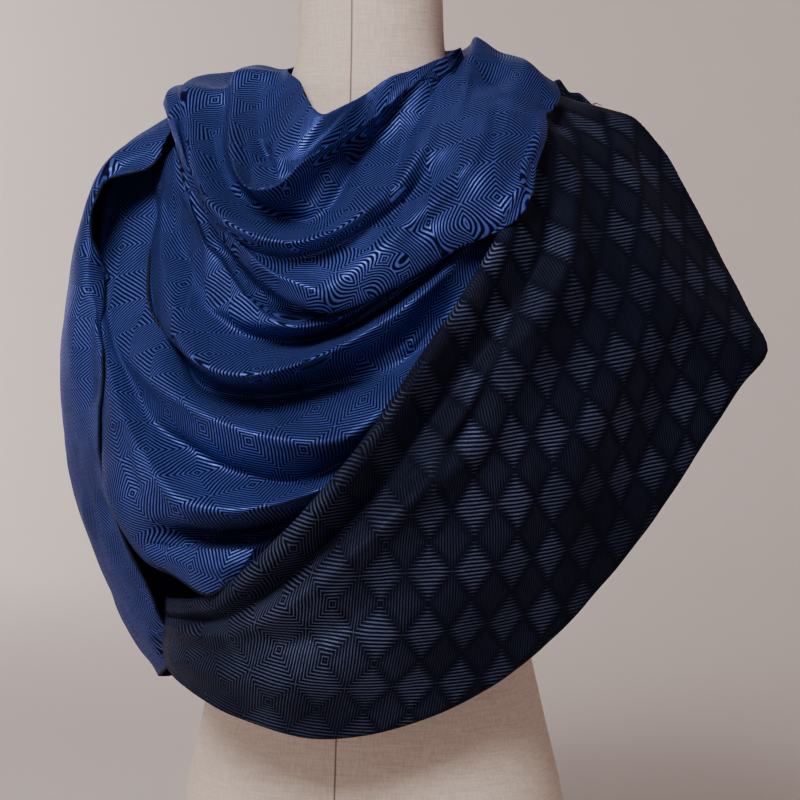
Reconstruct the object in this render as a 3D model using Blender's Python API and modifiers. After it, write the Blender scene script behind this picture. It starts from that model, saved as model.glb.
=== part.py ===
"""A large shawl wound round the neck and shoulders of a limbless dress form.

Metres, +Z up. The origin is the centre of the base's underside and the form faces -Y.
The folds are laid out from one side of the front, the drape's own front, which is turned from the form's.
There a place is across (to the right), height and out (away from the form's axis), in millimetres.
"""

import math

import bmesh
import bpy
import numpy as np
from mathutils import Vector
from mathutils.bvhtree import BVHTree

MM = 0.001
CLOTH = 1.8 * MM
SEAM = 0.3 * MM
DRAPE_TURN = math.radians(16)
CLEAR_OF_FORM = 4.6 * MM
BACK_CLEAR_OF_FORM = 2.4 * MM
BETWEEN_LAYERS = 3.0 * MM
PANEL_CLEAR = 2.3 * MM
CLEAR_UNDER_COWL = 7.9 * MM
LIFT_ROUNDS = 4
LIFT_REACH = 70 * MM
SHOULDER_BASE = 660 * MM
SHOULDER_RISE = 1.6
LINE_STEPS = 24
ARM_POINTS = 60
ARM_SAMPLES = 90
SWAG_ROUNDS = 14

# The dress form, in millimetres: each row is a level section.
FORM_COLUMNS = ("height", "half_width", "front", "back")
FORM_SECTIONS = (
    (100, 130, 84, 94),
    (106, 140, 93, 104),
    (160, 151, 102, 116),
    (215, 147, 98, 112),
    (290, 130, 90, 98),
    (350, 119, 84, 84),
    (420, 123, 90, 82),
    (490, 136, 100, 86),
    (550, 150, 104, 92),
    (605, 158, 98, 96),
    (650, 166, 86, 94),
    (680, 170, 75, 90),
    (698, 164, 68, 85),
    (713, 144, 61, 77),
    (727, 112, 56, 69),
    (741, 82, 53, 61),
    (757, 64, 52, 54),
    (780, 55, 50, 50),
    (815, 53, 49, 49),
    (842, 53, 49, 49),
)
FORM_SIDES = 28
FORM_SQUARENESS = 2.25

# The stand, in metres.
BASE_RADIUS = 0.140
BASE_HEIGHT = 0.022
POST_RADIUS = 0.022
POST_COLLAR_RADIUS = 0.034
CAP_RADIUS = 0.047
CAP_HEIGHT = 0.012
TURNED_STEPS = 28

# A swag: a fold line that hangs from its left end through its low point to its right end.
# Fullness 1 is a straight arm, 2 a round one and more a square one.
SWAG_COLUMNS = (
    "left_across", "left_height", "left_out",
    "low_across", "low_height", "low_out",
    "right_across", "right_height", "right_out",
    "left_full", "right_full",
)
FRONT_SWAGS = (
    (-112, 741, -40, -46, 684, 92, 80, 744, 14, 2.0, 1.6),
    (-134, 737, -46, -56, 600, 106, 88, 737, 36, 2.0, 1.6),
    (-144, 738, -48, -48, 581, 132, 94, 730, 48, 1.8, 1.6),
    (-152, 733, -48, -61, 569, 112, 101, 720, 58, 2.2, 1.6),
    (-161, 731, -48, -81, 550, 151, 108, 706, 70, 2.5, 1.5),
    (-171, 722, -44, -91, 530, 115, 114, 690, 78, 2.5, 1.8),
    (-184, 708, -38, -30, 506, 163, 120, 668, 86, 2.7, 1.35),
    (-197, 690, -28, -59, 474, 141, 124, 638, 92, 2.5, 1.4),
    (-206, 662, -16, -87, 459, 165, 124, 604, 97, 2.3, 1.5),
    (-208, 614, -10, -117, 436, 140, 120, 568, 100, 3.4, 1.6),
    (-198, 560, -8, -112, 404, 122, 112, 532, 98, 3.0, 1.8),
)
FRONT_ROWS = (1, 2, 2, 2, 3, 3, 3, 2, 2, 2)
FRONT_ALONG = (16, 16)

# A ring of the cowl: a fold line round the neck, which is a swag in front and one behind.
RING_COLUMNS = SWAG_COLUMNS + ("back_across", "back_height", "back_out")
COWL_RINGS = (
    (-57, 776, -8, -34, 727, 78, 61, 780, -8, 1.3, 1.0, 2, 780, -63),
    (-82, 770, -2, -64, 676, 88, 64, 777, -8, 2.4, 1.05, 2, 774, -76),
    (-102, 766, 4, -71, 674, 130, 67, 786, -8, 2.8, 1.05, 2, 788, -90),
    (-110, 754, -2, -46, 655, 98, 71, 777, -12, 2.6, 0.95, 2, 770, -94),
    (-136, 752, -2, -46, 640, 146, 77, 791, -14, 2.2, 1.5, 2, 780, -113),
    (-141, 744, -4, -52, 628, 128, 92, 778, -14, 2.0, 1.5, 2, 764, -115),
    (-145, 737, -2, -34, 606, 151, 112, 768, -8, 1.5, 1.22, 2, 762, -128),
    (-147, 731, 0, -30, 590, 142, 138, 754, -6, 1.5, 1.42, 2, 744, -132),
    (-143, 727, 0, -34, 604, 120, 134, 748, -10, 1.5, 1.42, 2, 739, -124),
)
COWL_ROWS = (2, 2, 3, 3, 2, 2, 2, 2)
COWL_ALONG = (10, 14, 9, 9)
COWL_EDGE_ROWS = 5

# The dark panel between its rolled top fold and its hem, from the right shoulder to the left hip.
EDGE_COLUMNS = ("across", "height", "out")
DARK_ROLL = (
    (150, 742, -64),
    (146, 750, -14),
    (112, 700, 90),
    (57, 600, 138),
    (23, 541, 170),
    (-12, 491, 184),
    (-57, 440, 184),
    (-103, 398, 160),
    (-141, 384, 106),
    (-150, 378, 62),
    (-158, 374, 30),
)
DARK_HEM = (
    (188, 722, -78),
    (184, 739, -16),
    (212, 718, -6),
    (249, 655, 0),
    (278, 597, 10),
    (296, 559, 20),
    (265, 523, 40),
    (202, 437, 78),
    (127, 359, 114),
    (56, 317, 142),
    (-20, 299, 154),
    (-75, 307, 151),
    (-118, 321, 128),
    (-141, 335, 92),
    (-147, 346, 56),
    (-157, 352, 28),
)
DARK_CORNER_ROW = 5
DARK_BELLY = 22
DARK_FOLDS_FULL = 0.35
# Each fold line of the dark panel: its share of the way to the hem, and how far down and out it is moved.
FOLD_COLUMNS = ("name", "share", "down", "out")
DARK_FOLDS = (
    ("tuck", 0.0, 34, -17),
    ("under", 0.0, 10, -14),
    ("top edge", 0.0, -4, -5),
    ("roll", 0.0, 6, 5),
    ("dip", 0.11, 4, -13),
    ("second ridge", 0.22, 0, 4),
    ("hollow", 0.38, 0, -5),
    ("low ridge", 0.60, 0, 2),
    ("hem dip", 0.84, 0, -3),
    ("hem", 1.0, 0, 0),
)
DARK_ROWS = (1, 2, 2, 2, 2, 3, 3, 2, 1)
DARK_ALONG = (10, 20)
DARK_ROLLED_ROWS = 8
DARK_FOLD_END = 0.4
DARK_LEAST_FOLD = 0.25
# The panel is lifted over what is below it from here to its shoulder end, in metres.
DARK_LIFT_FROM = -0.02

# The left side and the back. Each row is a level of the cloth from the front edge at the left round behind
# to the right side, with angles in degrees from straight behind.
BACK_COLUMNS = (
    "left_half", "right_half", "depth", "front_depth",
    "left_angle", "left_height", "back_height", "right_angle", "right_height",
)
BACK_LINES = (
    (160, 160, 60, 108, 88, 706, 764, -88, 714),
    (198, 181, 100, 124, 102, 686, 738, -92, 704),
    (216, 191, 122, 132, 108, 655, 704, -95, 698),
    (229, 199, 142, 150, 118, 594, 622, -98, 668),
    (234, 202, 154, 162, 121, 532, 528, -98, 622),
    (224, 197, 162, 170, 122, 464, 430, -98, 560),
    (190, 184, 165, 172, 126, 380, 330, -98, 484),
    (170, 178, 163, 160, 112, 338, 282, -98, 450),
)
BACK_ROWS = (2, 2, 4, 5, 5, 5, 2)
BACK_ALONG = 32
# How far the columns next to the front edge are drawn in to the drape, from the edge itself.
EDGE_SHARES = (1.0, 0.66, 0.34, 0.12)
EDGE_REACH = 40 * MM
EDGE_CLEAR = 1.6 * MM
# The heights between which the edge is laid, and how soon that fades out, in metres.
EDGE_LOW = 0.41
EDGE_HIGH = 0.715
EDGE_FADE = 0.04
# The folds that hang across the back: each runs from its left end to its right one and sags between them.
CROSS_FOLD_COLUMNS = ("left_angle", "left_height", "right_angle", "right_height", "sag", "half_width", "out")
BACK_CROSS_FOLDS = (
    (78, 668, -84, 704, 46, 20, 7),
    (84, 612, -92, 682, 78, 23, 9),
    (70, 560, -92, 656, 70, 18, -6),
    (88, 526, -94, 634, 92, 26, 10),
    (60, 470, -94, 590, 60, 20, -7),
    (90, 438, -96, 560, 66, 28, 10),
    (10, 386, -96, 512, 26, 24, 7),
)
FOLD_END = 0.6
# The upright folds that open towards the hem behind, with angles in degrees.
FLUTE_COLUMNS = ("angle", "half_width", "out")
BACK_FLUTE_TOP = 640
BACK_FLUTE_FALL = 340
BACK_FLUTE_GROWTH = 1.3
BACK_FLUTES = (
    (84, 8, 7),
    (58, 8, -9),
    (34, 7, 8),
    (8, 8, -8),
    (-22, 8, 9),
    (-50, 8, -8),
    (-76, 7, 7),
)

# The gather on the right shoulder: each row is an arch, left to right.
BUNCH_COLUMNS = ("across", "height", "arch", "deep")
BUNCH_OUT = -42
BUNCH_SECTIONS = (
    (138, 757, 3, 5),
    (142, 756, 8, 10),
    (148, 754, 12, 13),
    (155, 751, 6, 11),
    (163, 748, 8, 10),
    (173, 744, 3, 7),
)
BUNCH_STEPS = 8

# The small flap above the dark roll, from its left tip to its right one.
FLAP_LINES = (
    (-157, 431, 129, -113, 433, 163, -77, 434, 172.5),
    (-155, 424, 133, -112, 420, 169, -83, 427, 175.5),
    (-146, 415, 134, -111, 403, 161, -90, 419, 172.5),
)
FLAP_POINTS = 11


def laid_out(points):
    """An array of across, height and out, in millimetres, as points of the part."""
    across, height, out = np.moveaxis(np.asarray(points, float) * MM, -1, 0)
    x = across * math.cos(DRAPE_TURN) + out * math.sin(DRAPE_TURN)
    y = across * math.sin(DRAPE_TURN) - out * math.cos(DRAPE_TURN)
    return np.stack((x, y, height), axis=-1)


def even(line, count):
    """The line again, with that many points evenly spaced along it."""
    line = np.asarray(line, float)
    steps = np.linalg.norm(np.diff(line, axis=0), axis=1)
    along = np.concatenate(([0], np.cumsum(steps)))
    at = np.linspace(0, along[-1], count)
    return np.stack([np.interp(at, along, line[:, k]) for k in range(line.shape[1])], axis=1)


def smooth_line(points, steps=LINE_STEPS // 2):
    """A Catmull-Rom curve through the points, each of which may be a whole row of points."""
    points = np.asarray(points, float)
    before = 2 * points[:1] - points[1:2]
    after = 2 * points[-1:] - points[-2:-1]
    padded = np.concatenate((before, points, after))
    line = []
    for i in range(len(padded) - 3):
        a, b, c, d = padded[i:i + 4]
        for k in range(steps):
            t = k / steps
            cubic = 2 * b + (c - a) * t + (2 * a - 5 * b + 4 * c - d) * t ** 2
            line.append(0.5 * (cubic + (3 * b - a - 3 * c + d) * t ** 3))
    line.append(padded[-2])
    return np.array(line)


def arm(end, low, full):
    """Half a swag, from its end to its low point."""
    angle = np.linspace(0, math.pi / 2, ARM_SAMPLES)
    across = np.cos(angle) ** (2 / full)
    fall = 1 - np.sin(angle) ** (2 / full)
    reach = 1 - np.sin(angle)
    share = np.stack((across, fall, reach), axis=1)
    return even(low + (end - low) * share, ARM_POINTS + 1)


def swag(left, low, right, left_full, right_full, counts):
    """A whole swag, rounded at its low point, with the given numbers of steps on its two arms."""
    first = arm(left, low, left_full)
    second = arm(right, low, right_full)
    line = np.concatenate((first, second[::-1][1:]))
    for _ in range(SWAG_ROUNDS):
        line[1:-1] = (line[:-2] + 2 * line[1:-1] + line[2:]) / 4
    half = len(first)
    return np.concatenate((even(line[:half], counts[0] + 1), even(line[half - 1:], counts[1] + 1)[1:]))


def swag_line(row, counts):
    left, low, right = (np.array(row[k:k + 3], float) for k in (0, 3, 6))
    return swag(left, low, right, row[9], row[10], counts)


def ring_line(row, counts):
    """A closed line round the neck: the swag in front, and the one behind from right to left."""
    front = swag_line(row[:11], counts[:2])
    left, right = front[0], front[-1]
    back = np.array(row[11:14], float)
    behind = swag(right, back, left, 2, 2, counts[2:])
    return np.concatenate((front, behind[1:-1]))


def between(lines, counts):
    """The fold lines with smooth lines added between them, in the given numbers of steps."""
    fine = smooth_line(lines, LINE_STEPS)
    spread = []
    start = 0
    for count in counts:
        at = start + np.arange(count) * LINE_STEPS / count
        low = np.floor(at).astype(int)
        part = (at - low)[:, None, None]
        spread.append(fine[low] * (1 - part) + fine[low + 1] * part)
        start += LINE_STEPS
    spread.append(fine[-1:])
    return np.concatenate(spread)


def tree_of(obj):
    mesh = obj.data
    return BVHTree.FromPolygons([v.co for v in mesh.vertices], [tuple(p.vertices) for p in mesh.polygons])


def clear_of(grid, form, gap):
    """The points moved off the form wherever they are nearer to it than the gap, or inside it."""
    grid = grid.copy()
    for index in np.ndindex(grid.shape[:2]):
        point = Vector(grid[index])
        place, normal, _, _ = form.find_nearest(point)
        if (point - place).dot(normal) < gap:
            grid[index] = place + normal * gap
    return grid


def outward(point):
    """The way out from the form: level at the body, and rising over the shoulders."""
    return Vector((point.x, point.y, max(0, point.z - SHOULDER_BASE) * SHOULDER_RISE)).normalized()


def halved(grid, closed):
    """The grid with a point added halfway between each two neighbours."""
    rows, cols = grid.shape[:2]
    after = np.roll(grid, -1, axis=1)
    wide = np.stack((grid, (grid + after) / 2), axis=2).reshape(rows, 2 * cols, 3)
    if not closed:
        wide = wide[:, :-1]
    fine = np.empty((2 * rows - 1, wide.shape[1], 3))
    fine[::2] = wide
    fine[1::2] = (wide[1:] + wide[:-1]) / 2
    return fine


def laid_edge(grid, lower, gap):
    """The grid with its first columns drawn in until the edge lies on the lower piece."""
    grid = grid.copy()
    for i in range(len(grid)):
        height = grid[i, 0, 2]
        above_low = min(1, max(0, (height - EDGE_LOW) / EDGE_FADE))
        below_high = min(1, max(0, (EDGE_HIGH - height) / EDGE_FADE))
        laid = above_low * below_high
        for j, share in enumerate(EDGE_SHARES):
            place, normal, _, away = lower.find_nearest(Vector(grid[i, j]))
            if away < EDGE_REACH:
                grid[i, j] += (np.array(place + normal * gap) - grid[i, j]) * share * laid
    return grid


def near_most(field, closed):
    """Each place's greatest value among its neighbours'."""
    tall = np.pad(field, ((1, 1), (0, 0)), mode="edge")
    tall = np.max((tall[:-2], tall[1:-1], tall[2:]), axis=0)
    wide = np.pad(tall, ((0, 0), (1, 1)), mode="wrap" if closed else "edge")
    return np.max((wide[:, :-2], wide[:, 1:-1], wide[:, 2:]), axis=0)


def near_mean(field, closed):
    """Each place's mean with its neighbours."""
    tall = np.pad(field, ((1, 1), (0, 0)), mode="edge")
    tall = (tall[:-2] + 2 * tall[1:-1] + tall[2:]) / 4
    wide = np.pad(tall, ((0, 0), (1, 1)), mode="wrap" if closed else "edge")
    return (wide[:, :-2] + 2 * wide[:, 1:-1] + wide[:, 2:]) / 4


def over(grid, lower, gap, where=None, closed=False, rolled=(0, 0)):
    """The points moved out to where they, and the places halfway between them, lie over the lower pieces.

    A rolled edge, which is that many rows at the start or the end, is moved as one.
    """
    fine = halved(grid, closed)
    lift = np.zeros(fine.shape[:2])
    for index in np.ndindex(lift.shape):
        point = Vector(fine[index])
        if where is not None and not where(point):
            continue
        away = outward(point)
        start = point + away * LIFT_REACH
        for tree in lower:
            hit, _, _, far = tree.ray_cast(start, -away, LIFT_REACH + gap)
            if hit is not None:
                lift[index] = max(lift[index], LIFT_REACH - far + gap)
    least = near_most(lift, closed)[::2, ::2]
    lift = least
    for _ in range(LIFT_ROUNDS):
        lift = np.maximum(least, near_mean(lift, closed))
    first, last = rolled
    if first:
        lift[:first] = lift[:first].max(axis=0)
        for k in range(first):
            lift[first + k] = np.maximum(lift[first + k], lift[0] * (1 - (k + 1) / (first + 1)))
    if last:
        lift[-last:] = lift[-last:].max(axis=0)
        for k in range(last):
            lift[-last - 1 - k] = np.maximum(lift[-last - 1 - k], lift[-1] * (1 - (k + 1) / (last + 1)))
    ways = np.array([[outward(Vector(point)) for point in row] for row in grid])
    return grid + ways * lift[..., None]


def material(name, colour, roughness):
    made = bpy.data.materials.new(name)
    made.use_nodes = True
    shader = made.node_tree.nodes["Principled BSDF"]
    shader.inputs["Base Color"].default_value = (*colour, 1)
    shader.inputs["Roughness"].default_value = roughness
    shader.inputs["Metallic"].default_value = 0
    return made


def new_object(name, mesh, finish, collection):
    mesh.shade_smooth()
    mesh.materials.append(finish)
    obj = bpy.data.objects.new(name, mesh)
    collection.objects.link(obj)
    return obj


def cloth(name, grid, finish, collection, closed=False):
    """A wall of cloth on a grid of points, each of which is joined to the next in its row and its column."""
    rows, cols = grid.shape[:2]
    mesh = bpy.data.meshes.new(name)
    work = bmesh.new()
    verts = [[work.verts.new(point) for point in row] for row in grid]
    for i in range(rows - 1):
        for j in range(cols if closed else cols - 1):
            after = (j + 1) % cols
            work.faces.new((verts[i][j], verts[i + 1][j], verts[i + 1][after], verts[i][after]))
    work.to_mesh(mesh)
    work.free()
    obj = new_object(name, mesh, finish, collection)
    wall = obj.modifiers.new("Wall", "SOLIDIFY")
    wall.thickness = CLOTH
    wall.offset = -1
    return obj


def front_drape(finish, collection, form):
    lines = [swag_line(row, FRONT_ALONG) for row in FRONT_SWAGS]
    grid = clear_of(laid_out(between(lines, FRONT_ROWS)), form, CLEAR_OF_FORM + CLOTH)
    return cloth("front_drape", grid, finish, collection)


def neck_cowl(finish, collection, form, lower):
    lines = [ring_line(row, COWL_ALONG) for row in COWL_RINGS]
    grid = clear_of(laid_out(between(lines, COWL_ROWS)), form, CLEAR_OF_FORM + CLOTH)
    grid = over(grid, lower, CLEAR_UNDER_COWL, closed=True, rolled=(0, COWL_EDGE_ROWS))
    return cloth("neck_cowl", grid, finish, collection, closed=True)


def dark_grid(steps, rows):
    """The dark panel's fold lines, each a blend of its top roll and its hem."""
    before, after = steps
    shoulder_hem = smooth_line(DARK_HEM[:DARK_CORNER_ROW + 1])
    low_hem = smooth_line(DARK_HEM[DARK_CORNER_ROW:])
    hem = np.concatenate((even(shoulder_hem, before + 1)[:-1], even(low_hem, after + 1)))
    roll = even(smooth_line(DARK_ROLL), len(hem))
    along = np.linspace(0, 1, len(hem))
    fall = hem - roll
    fall = fall / np.linalg.norm(fall, axis=1, keepdims=True)
    fade = np.sin(np.pi * np.clip(along, 0.02, 0.98)) ** DARK_FOLD_END
    fade = fade * np.clip(along / DARK_FOLDS_FULL, DARK_LEAST_FOLD, 1)
    lines = []
    for _, share, down, out in DARK_FOLDS:
        line = roll + (hem - roll) * share + fall * down * fade[:, None]
        line[:, 2] += out * fade + DARK_BELLY * np.sin(np.pi * share) * np.sin(np.pi * along)
        lines.append(line)
    return between(lines, rows)


def lifted_part(point):
    return point.x > DARK_LIFT_FROM


def dark_front(finish, collection, form, lower):
    grid = clear_of(laid_out(dark_grid(DARK_ALONG, DARK_ROWS)), form, CLEAR_OF_FORM + CLOTH)
    grid = over(grid, lower, PANEL_CLEAR + CLOTH, where=lifted_part, rolled=(DARK_ROLLED_ROWS, 0))
    return cloth("dark_front", grid, finish, collection)


def shoulder_bunch(finish, collection):
    """The end of the panel gathered into an arch that stands on the shoulder."""
    lines = []
    for across, height, arch, deep in BUNCH_SECTIONS:
        angle = np.linspace(0, math.pi, BUNCH_STEPS + 1)
        out = BUNCH_OUT + deep * np.cos(angle)
        level = np.full(BUNCH_STEPS + 1, across)
        lines.append(np.stack((level, height + arch * np.sin(angle), out), axis=1))
    grid = laid_out(between(lines, (2,) * (len(lines) - 1)))
    return cloth("shoulder_bunch", grid, finish, collection)


def cross_fold(angle, height, fold):
    """How far out a fold across the back moves the cloth at each angle and height."""
    left_at, left_z, right_at, right_z, sag, half_width, out = fold
    share = np.clip((left_at - angle) / (left_at - right_at), 0, 1)
    fold_height = left_z + (right_z - left_z) * share - sag * 4 * share * (1 - share)
    fade = np.sin(np.pi * share) ** FOLD_END
    return out * fade * np.exp(-((height - fold_height) / half_width) ** 2)


def back_grid(steps, rows):
    """The levels of the cloth at the left side and the back, with its folds."""
    levels = between(np.array(BACK_LINES, float)[:, None, :], rows)[:, 0]
    lines = []
    for left_half, right_half, depth, front_depth, left_at, left_z, back_z, right_at, right_z in levels:
        angle = np.linspace(left_at, right_at, steps + 1)
        turn = np.radians(angle)
        share = np.where(angle > 0, angle / left_at, angle / right_at) ** 2
        height = back_z + (np.where(angle > 0, left_z, right_z) - back_z) * share
        fold = sum(cross_fold(angle, height, row) for row in BACK_CROSS_FOLDS)
        opening = np.clip((BACK_FLUTE_TOP - height) / BACK_FLUTE_FALL, 0, 1) ** BACK_FLUTE_GROWTH
        for at, half_width, out in BACK_FLUTES:
            fold = fold + opening * out * np.exp(-((angle - at) / half_width) ** 2)
        across = -(np.where(angle > 0, left_half, right_half) + fold) * np.sin(turn)
        out = -(np.where(np.abs(angle) > 90, front_depth, depth) + fold) * np.cos(turn)
        lines.append(np.stack((across, height, out), axis=1))
    return np.array(lines)


def back_wrap(finish, collection, form, lower):
    grid = clear_of(laid_out(back_grid(BACK_ALONG, BACK_ROWS)), form, BACK_CLEAR_OF_FORM + CLOTH)
    grid = over(grid, lower, BETWEEN_LAYERS + CLOTH)
    grid = laid_edge(grid, lower[0], EDGE_CLEAR)
    return cloth("back_wrap", grid, finish, collection)


def tucked_corner(finish, collection):
    lines = []
    for row in FLAP_LINES:
        points = [row[k:k + 3] for k in (0, 3, 6)]
        lines.append(even(smooth_line(points), FLAP_POINTS))
    grid = laid_out(between(lines, (2, 2)))
    return cloth("tucked_corner", grid, finish, collection)


def form_torso(finish, collection):
    mesh = bpy.data.meshes.new("form_torso")
    work = bmesh.new()
    power = 2 / FORM_SQUARENESS
    rings = []
    for height, half, front, back in FORM_SECTIONS:
        ring = []
        for k in range(FORM_SIDES):
            turn = 2 * math.pi * k / FORM_SIDES
            side, ahead = math.sin(turn), math.cos(turn)
            x = half * math.copysign(abs(side) ** power, side)
            y = -(front if ahead > 0 else back) * math.copysign(abs(ahead) ** power, ahead)
            ring.append(work.verts.new((x * MM, y * MM, height * MM)))
        rings.append(ring)
    for lower, upper in zip(rings, rings[1:]):
        for k in range(FORM_SIDES):
            after = (k + 1) % FORM_SIDES
            work.faces.new((lower[k], upper[k], upper[after], lower[after]))
    work.faces.new(rings[0])
    work.faces.new(rings[-1][::-1])
    bmesh.ops.recalc_face_normals(work, faces=work.faces)
    work.to_mesh(mesh)
    work.free()
    return new_object("form_torso", mesh, finish, collection)


def turned(name, profile, finish, collection):
    """A turned piece from its outline, top to bottom."""
    mesh = bpy.data.meshes.new(name)
    edges = [(k, k + 1) for k in range(len(profile) - 1)]
    mesh.from_pydata([(radius, 0, height) for radius, height in profile], edges, [])
    obj = new_object(name, mesh, finish, collection)
    screw = obj.modifiers.new("Turning", "SCREW")
    screw.steps = TURNED_STEPS
    screw.render_steps = TURNED_STEPS
    screw.use_merge_vertices = True
    screw.merge_threshold = 0.00005
    screw.use_smooth_shade = True
    return obj


def form_stand(finish, collection):
    torso_bottom = FORM_SECTIONS[0][0] * MM
    neck_top = FORM_SECTIONS[-1][0] * MM
    soft = 0.002
    turned("form_neck_cap", (
        (0, neck_top + SEAM + CAP_HEIGHT),
        (CAP_RADIUS - 2 * soft, neck_top + SEAM + CAP_HEIGHT),
        (CAP_RADIUS, neck_top + SEAM + CAP_HEIGHT - 2 * soft),
        (CAP_RADIUS, neck_top + SEAM + soft),
        (CAP_RADIUS - soft, neck_top + SEAM),
        (0, neck_top + SEAM),
    ), finish, collection)
    turned("form_post", (
        (0, torso_bottom - SEAM),
        (POST_COLLAR_RADIUS, torso_bottom - SEAM),
        (POST_COLLAR_RADIUS, torso_bottom - 0.008),
        (POST_RADIUS, torso_bottom - 0.016),
        (POST_RADIUS * 0.8, torso_bottom - 0.034),
        (POST_RADIUS, torso_bottom - 0.054),
        (POST_COLLAR_RADIUS, torso_bottom - 0.064),
        (POST_COLLAR_RADIUS, BASE_HEIGHT + SEAM),
        (0, BASE_HEIGHT + SEAM),
    ), finish, collection)
    turned("form_base", (
        (0, BASE_HEIGHT),
        (BASE_RADIUS - 5 * soft, BASE_HEIGHT),
        (BASE_RADIUS - 2 * soft, BASE_HEIGHT - soft),
        (BASE_RADIUS, BASE_HEIGHT - 3 * soft),
        (BASE_RADIUS, soft),
        (BASE_RADIUS - soft, 0),
        (0, 0),
    ), finish, collection)


def main():
    for old in list(bpy.data.objects):
        bpy.data.objects.remove(old)
    collection = bpy.data.collections.new("Shawl on a dress form")
    bpy.context.scene.collection.children.link(collection)
    blue = material("Blue silk face", (0.012, 0.035, 0.16), 0.45)
    dark = material("Dark silk face", (0.006, 0.008, 0.018), 0.5)
    linen = material("Linen", (0.6, 0.5, 0.4), 0.9)
    wood = material("Waxed wood", (0.28, 0.15, 0.07), 0.5)
    form = tree_of(form_torso(linen, collection))
    form_stand(wood, collection)
    drape = tree_of(front_drape(blue, collection, form))
    back = tree_of(back_wrap(blue, collection, form, [drape]))
    panel = tree_of(dark_front(dark, collection, form, [drape, back]))
    shoulder_bunch(dark, collection)
    neck_cowl(blue, collection, form, [drape, back, panel])
    tucked_corner(blue, collection)


main()
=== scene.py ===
"""The shawl dressed over its frame: fine folded cloth, hems, weave, the linen form, light and camera.

Metres, +Z up, in the frame's own place. The rows of the tables down to the small flap's are the solids' own
sizes, so each sheet of cloth lies on the form of the solid it stands for.
"""

import math

import bmesh
import bpy
import numpy as np
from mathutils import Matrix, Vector, noise
from mathutils.bvhtree import BVHTree


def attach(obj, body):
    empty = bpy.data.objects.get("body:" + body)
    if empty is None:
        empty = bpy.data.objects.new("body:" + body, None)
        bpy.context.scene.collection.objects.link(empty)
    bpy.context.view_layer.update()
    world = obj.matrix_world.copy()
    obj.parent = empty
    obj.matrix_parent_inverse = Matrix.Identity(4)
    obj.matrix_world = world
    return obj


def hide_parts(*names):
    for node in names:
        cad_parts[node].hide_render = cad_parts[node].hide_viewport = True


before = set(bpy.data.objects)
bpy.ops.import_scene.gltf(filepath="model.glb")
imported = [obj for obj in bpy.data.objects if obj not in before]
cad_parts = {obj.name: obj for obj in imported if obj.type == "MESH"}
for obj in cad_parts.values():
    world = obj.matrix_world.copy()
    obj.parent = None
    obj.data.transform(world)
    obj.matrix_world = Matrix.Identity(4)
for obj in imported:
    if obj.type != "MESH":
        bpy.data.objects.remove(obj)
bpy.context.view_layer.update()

MM = 0.001
CLOTH = 1.8 * MM
DRAPE_TURN = math.radians(16)
CLEAR_OF_FORM = 4.6 * MM
BACK_CLEAR_OF_FORM = 2.4 * MM
BETWEEN_LAYERS = 3.0 * MM
PANEL_CLEAR = 2.3 * MM
CLEAR_UNDER_COWL = 7.9 * MM
LIFT_ROUNDS = 4
LIFT_REACH = 70 * MM
SHOULDER_BASE = 660 * MM
SHOULDER_RISE = 1.6
LINE_STEPS = 24
ARM_POINTS = 60
ARM_SAMPLES = 90
SWAG_ROUNDS = 14

# The dress form, in millimetres: each row is a level section. The columns are height, half width, how far
# it reaches in front and how far behind.
FORM_SECTIONS = (
    (100, 130, 84, 94),
    (106, 140, 93, 104),
    (160, 151, 102, 116),
    (215, 147, 98, 112),
    (290, 130, 90, 98),
    (350, 119, 84, 84),
    (420, 123, 90, 82),
    (490, 136, 100, 86),
    (550, 150, 104, 92),
    (605, 158, 98, 96),
    (650, 166, 86, 94),
    (680, 170, 75, 90),
    (698, 164, 68, 85),
    (713, 144, 61, 77),
    (727, 112, 56, 69),
    (741, 82, 53, 61),
    (757, 64, 52, 54),
    (780, 55, 50, 50),
    (815, 53, 49, 49),
    (842, 53, 49, 49),
)
FORM_SIDES = 28
FORM_SQUARENESS = 2.25

# A swag: a fold line that hangs from its left end through its low point to its right end. The columns are
# across, height and out of each of the three, then the fullness of the left and the right arm: 1 is a
# straight arm, 2 a round one and more a square one.
FRONT_SWAGS = (
    (-112, 741, -40, -46, 684, 92, 80, 744, 14, 2.0, 1.6),
    (-134, 737, -46, -56, 600, 106, 88, 737, 36, 2.0, 1.6),
    (-144, 738, -48, -48, 581, 132, 94, 730, 48, 1.8, 1.6),
    (-152, 733, -48, -61, 569, 112, 101, 720, 58, 2.2, 1.6),
    (-161, 731, -48, -81, 550, 151, 108, 706, 70, 2.5, 1.5),
    (-171, 722, -44, -91, 530, 115, 114, 690, 78, 2.5, 1.8),
    (-184, 708, -38, -30, 506, 163, 120, 668, 86, 2.7, 1.35),
    (-197, 690, -28, -59, 474, 141, 124, 638, 92, 2.5, 1.4),
    (-206, 662, -16, -87, 459, 165, 124, 604, 97, 2.3, 1.5),
    (-208, 614, -10, -117, 436, 140, 120, 568, 100, 3.4, 1.6),
    (-198, 560, -8, -112, 404, 122, 112, 532, 98, 3.0, 1.8),
)
FRONT_ROWS = (1, 2, 2, 2, 3, 3, 3, 2, 2, 2)
FRONT_ALONG = (16, 16)

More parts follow.
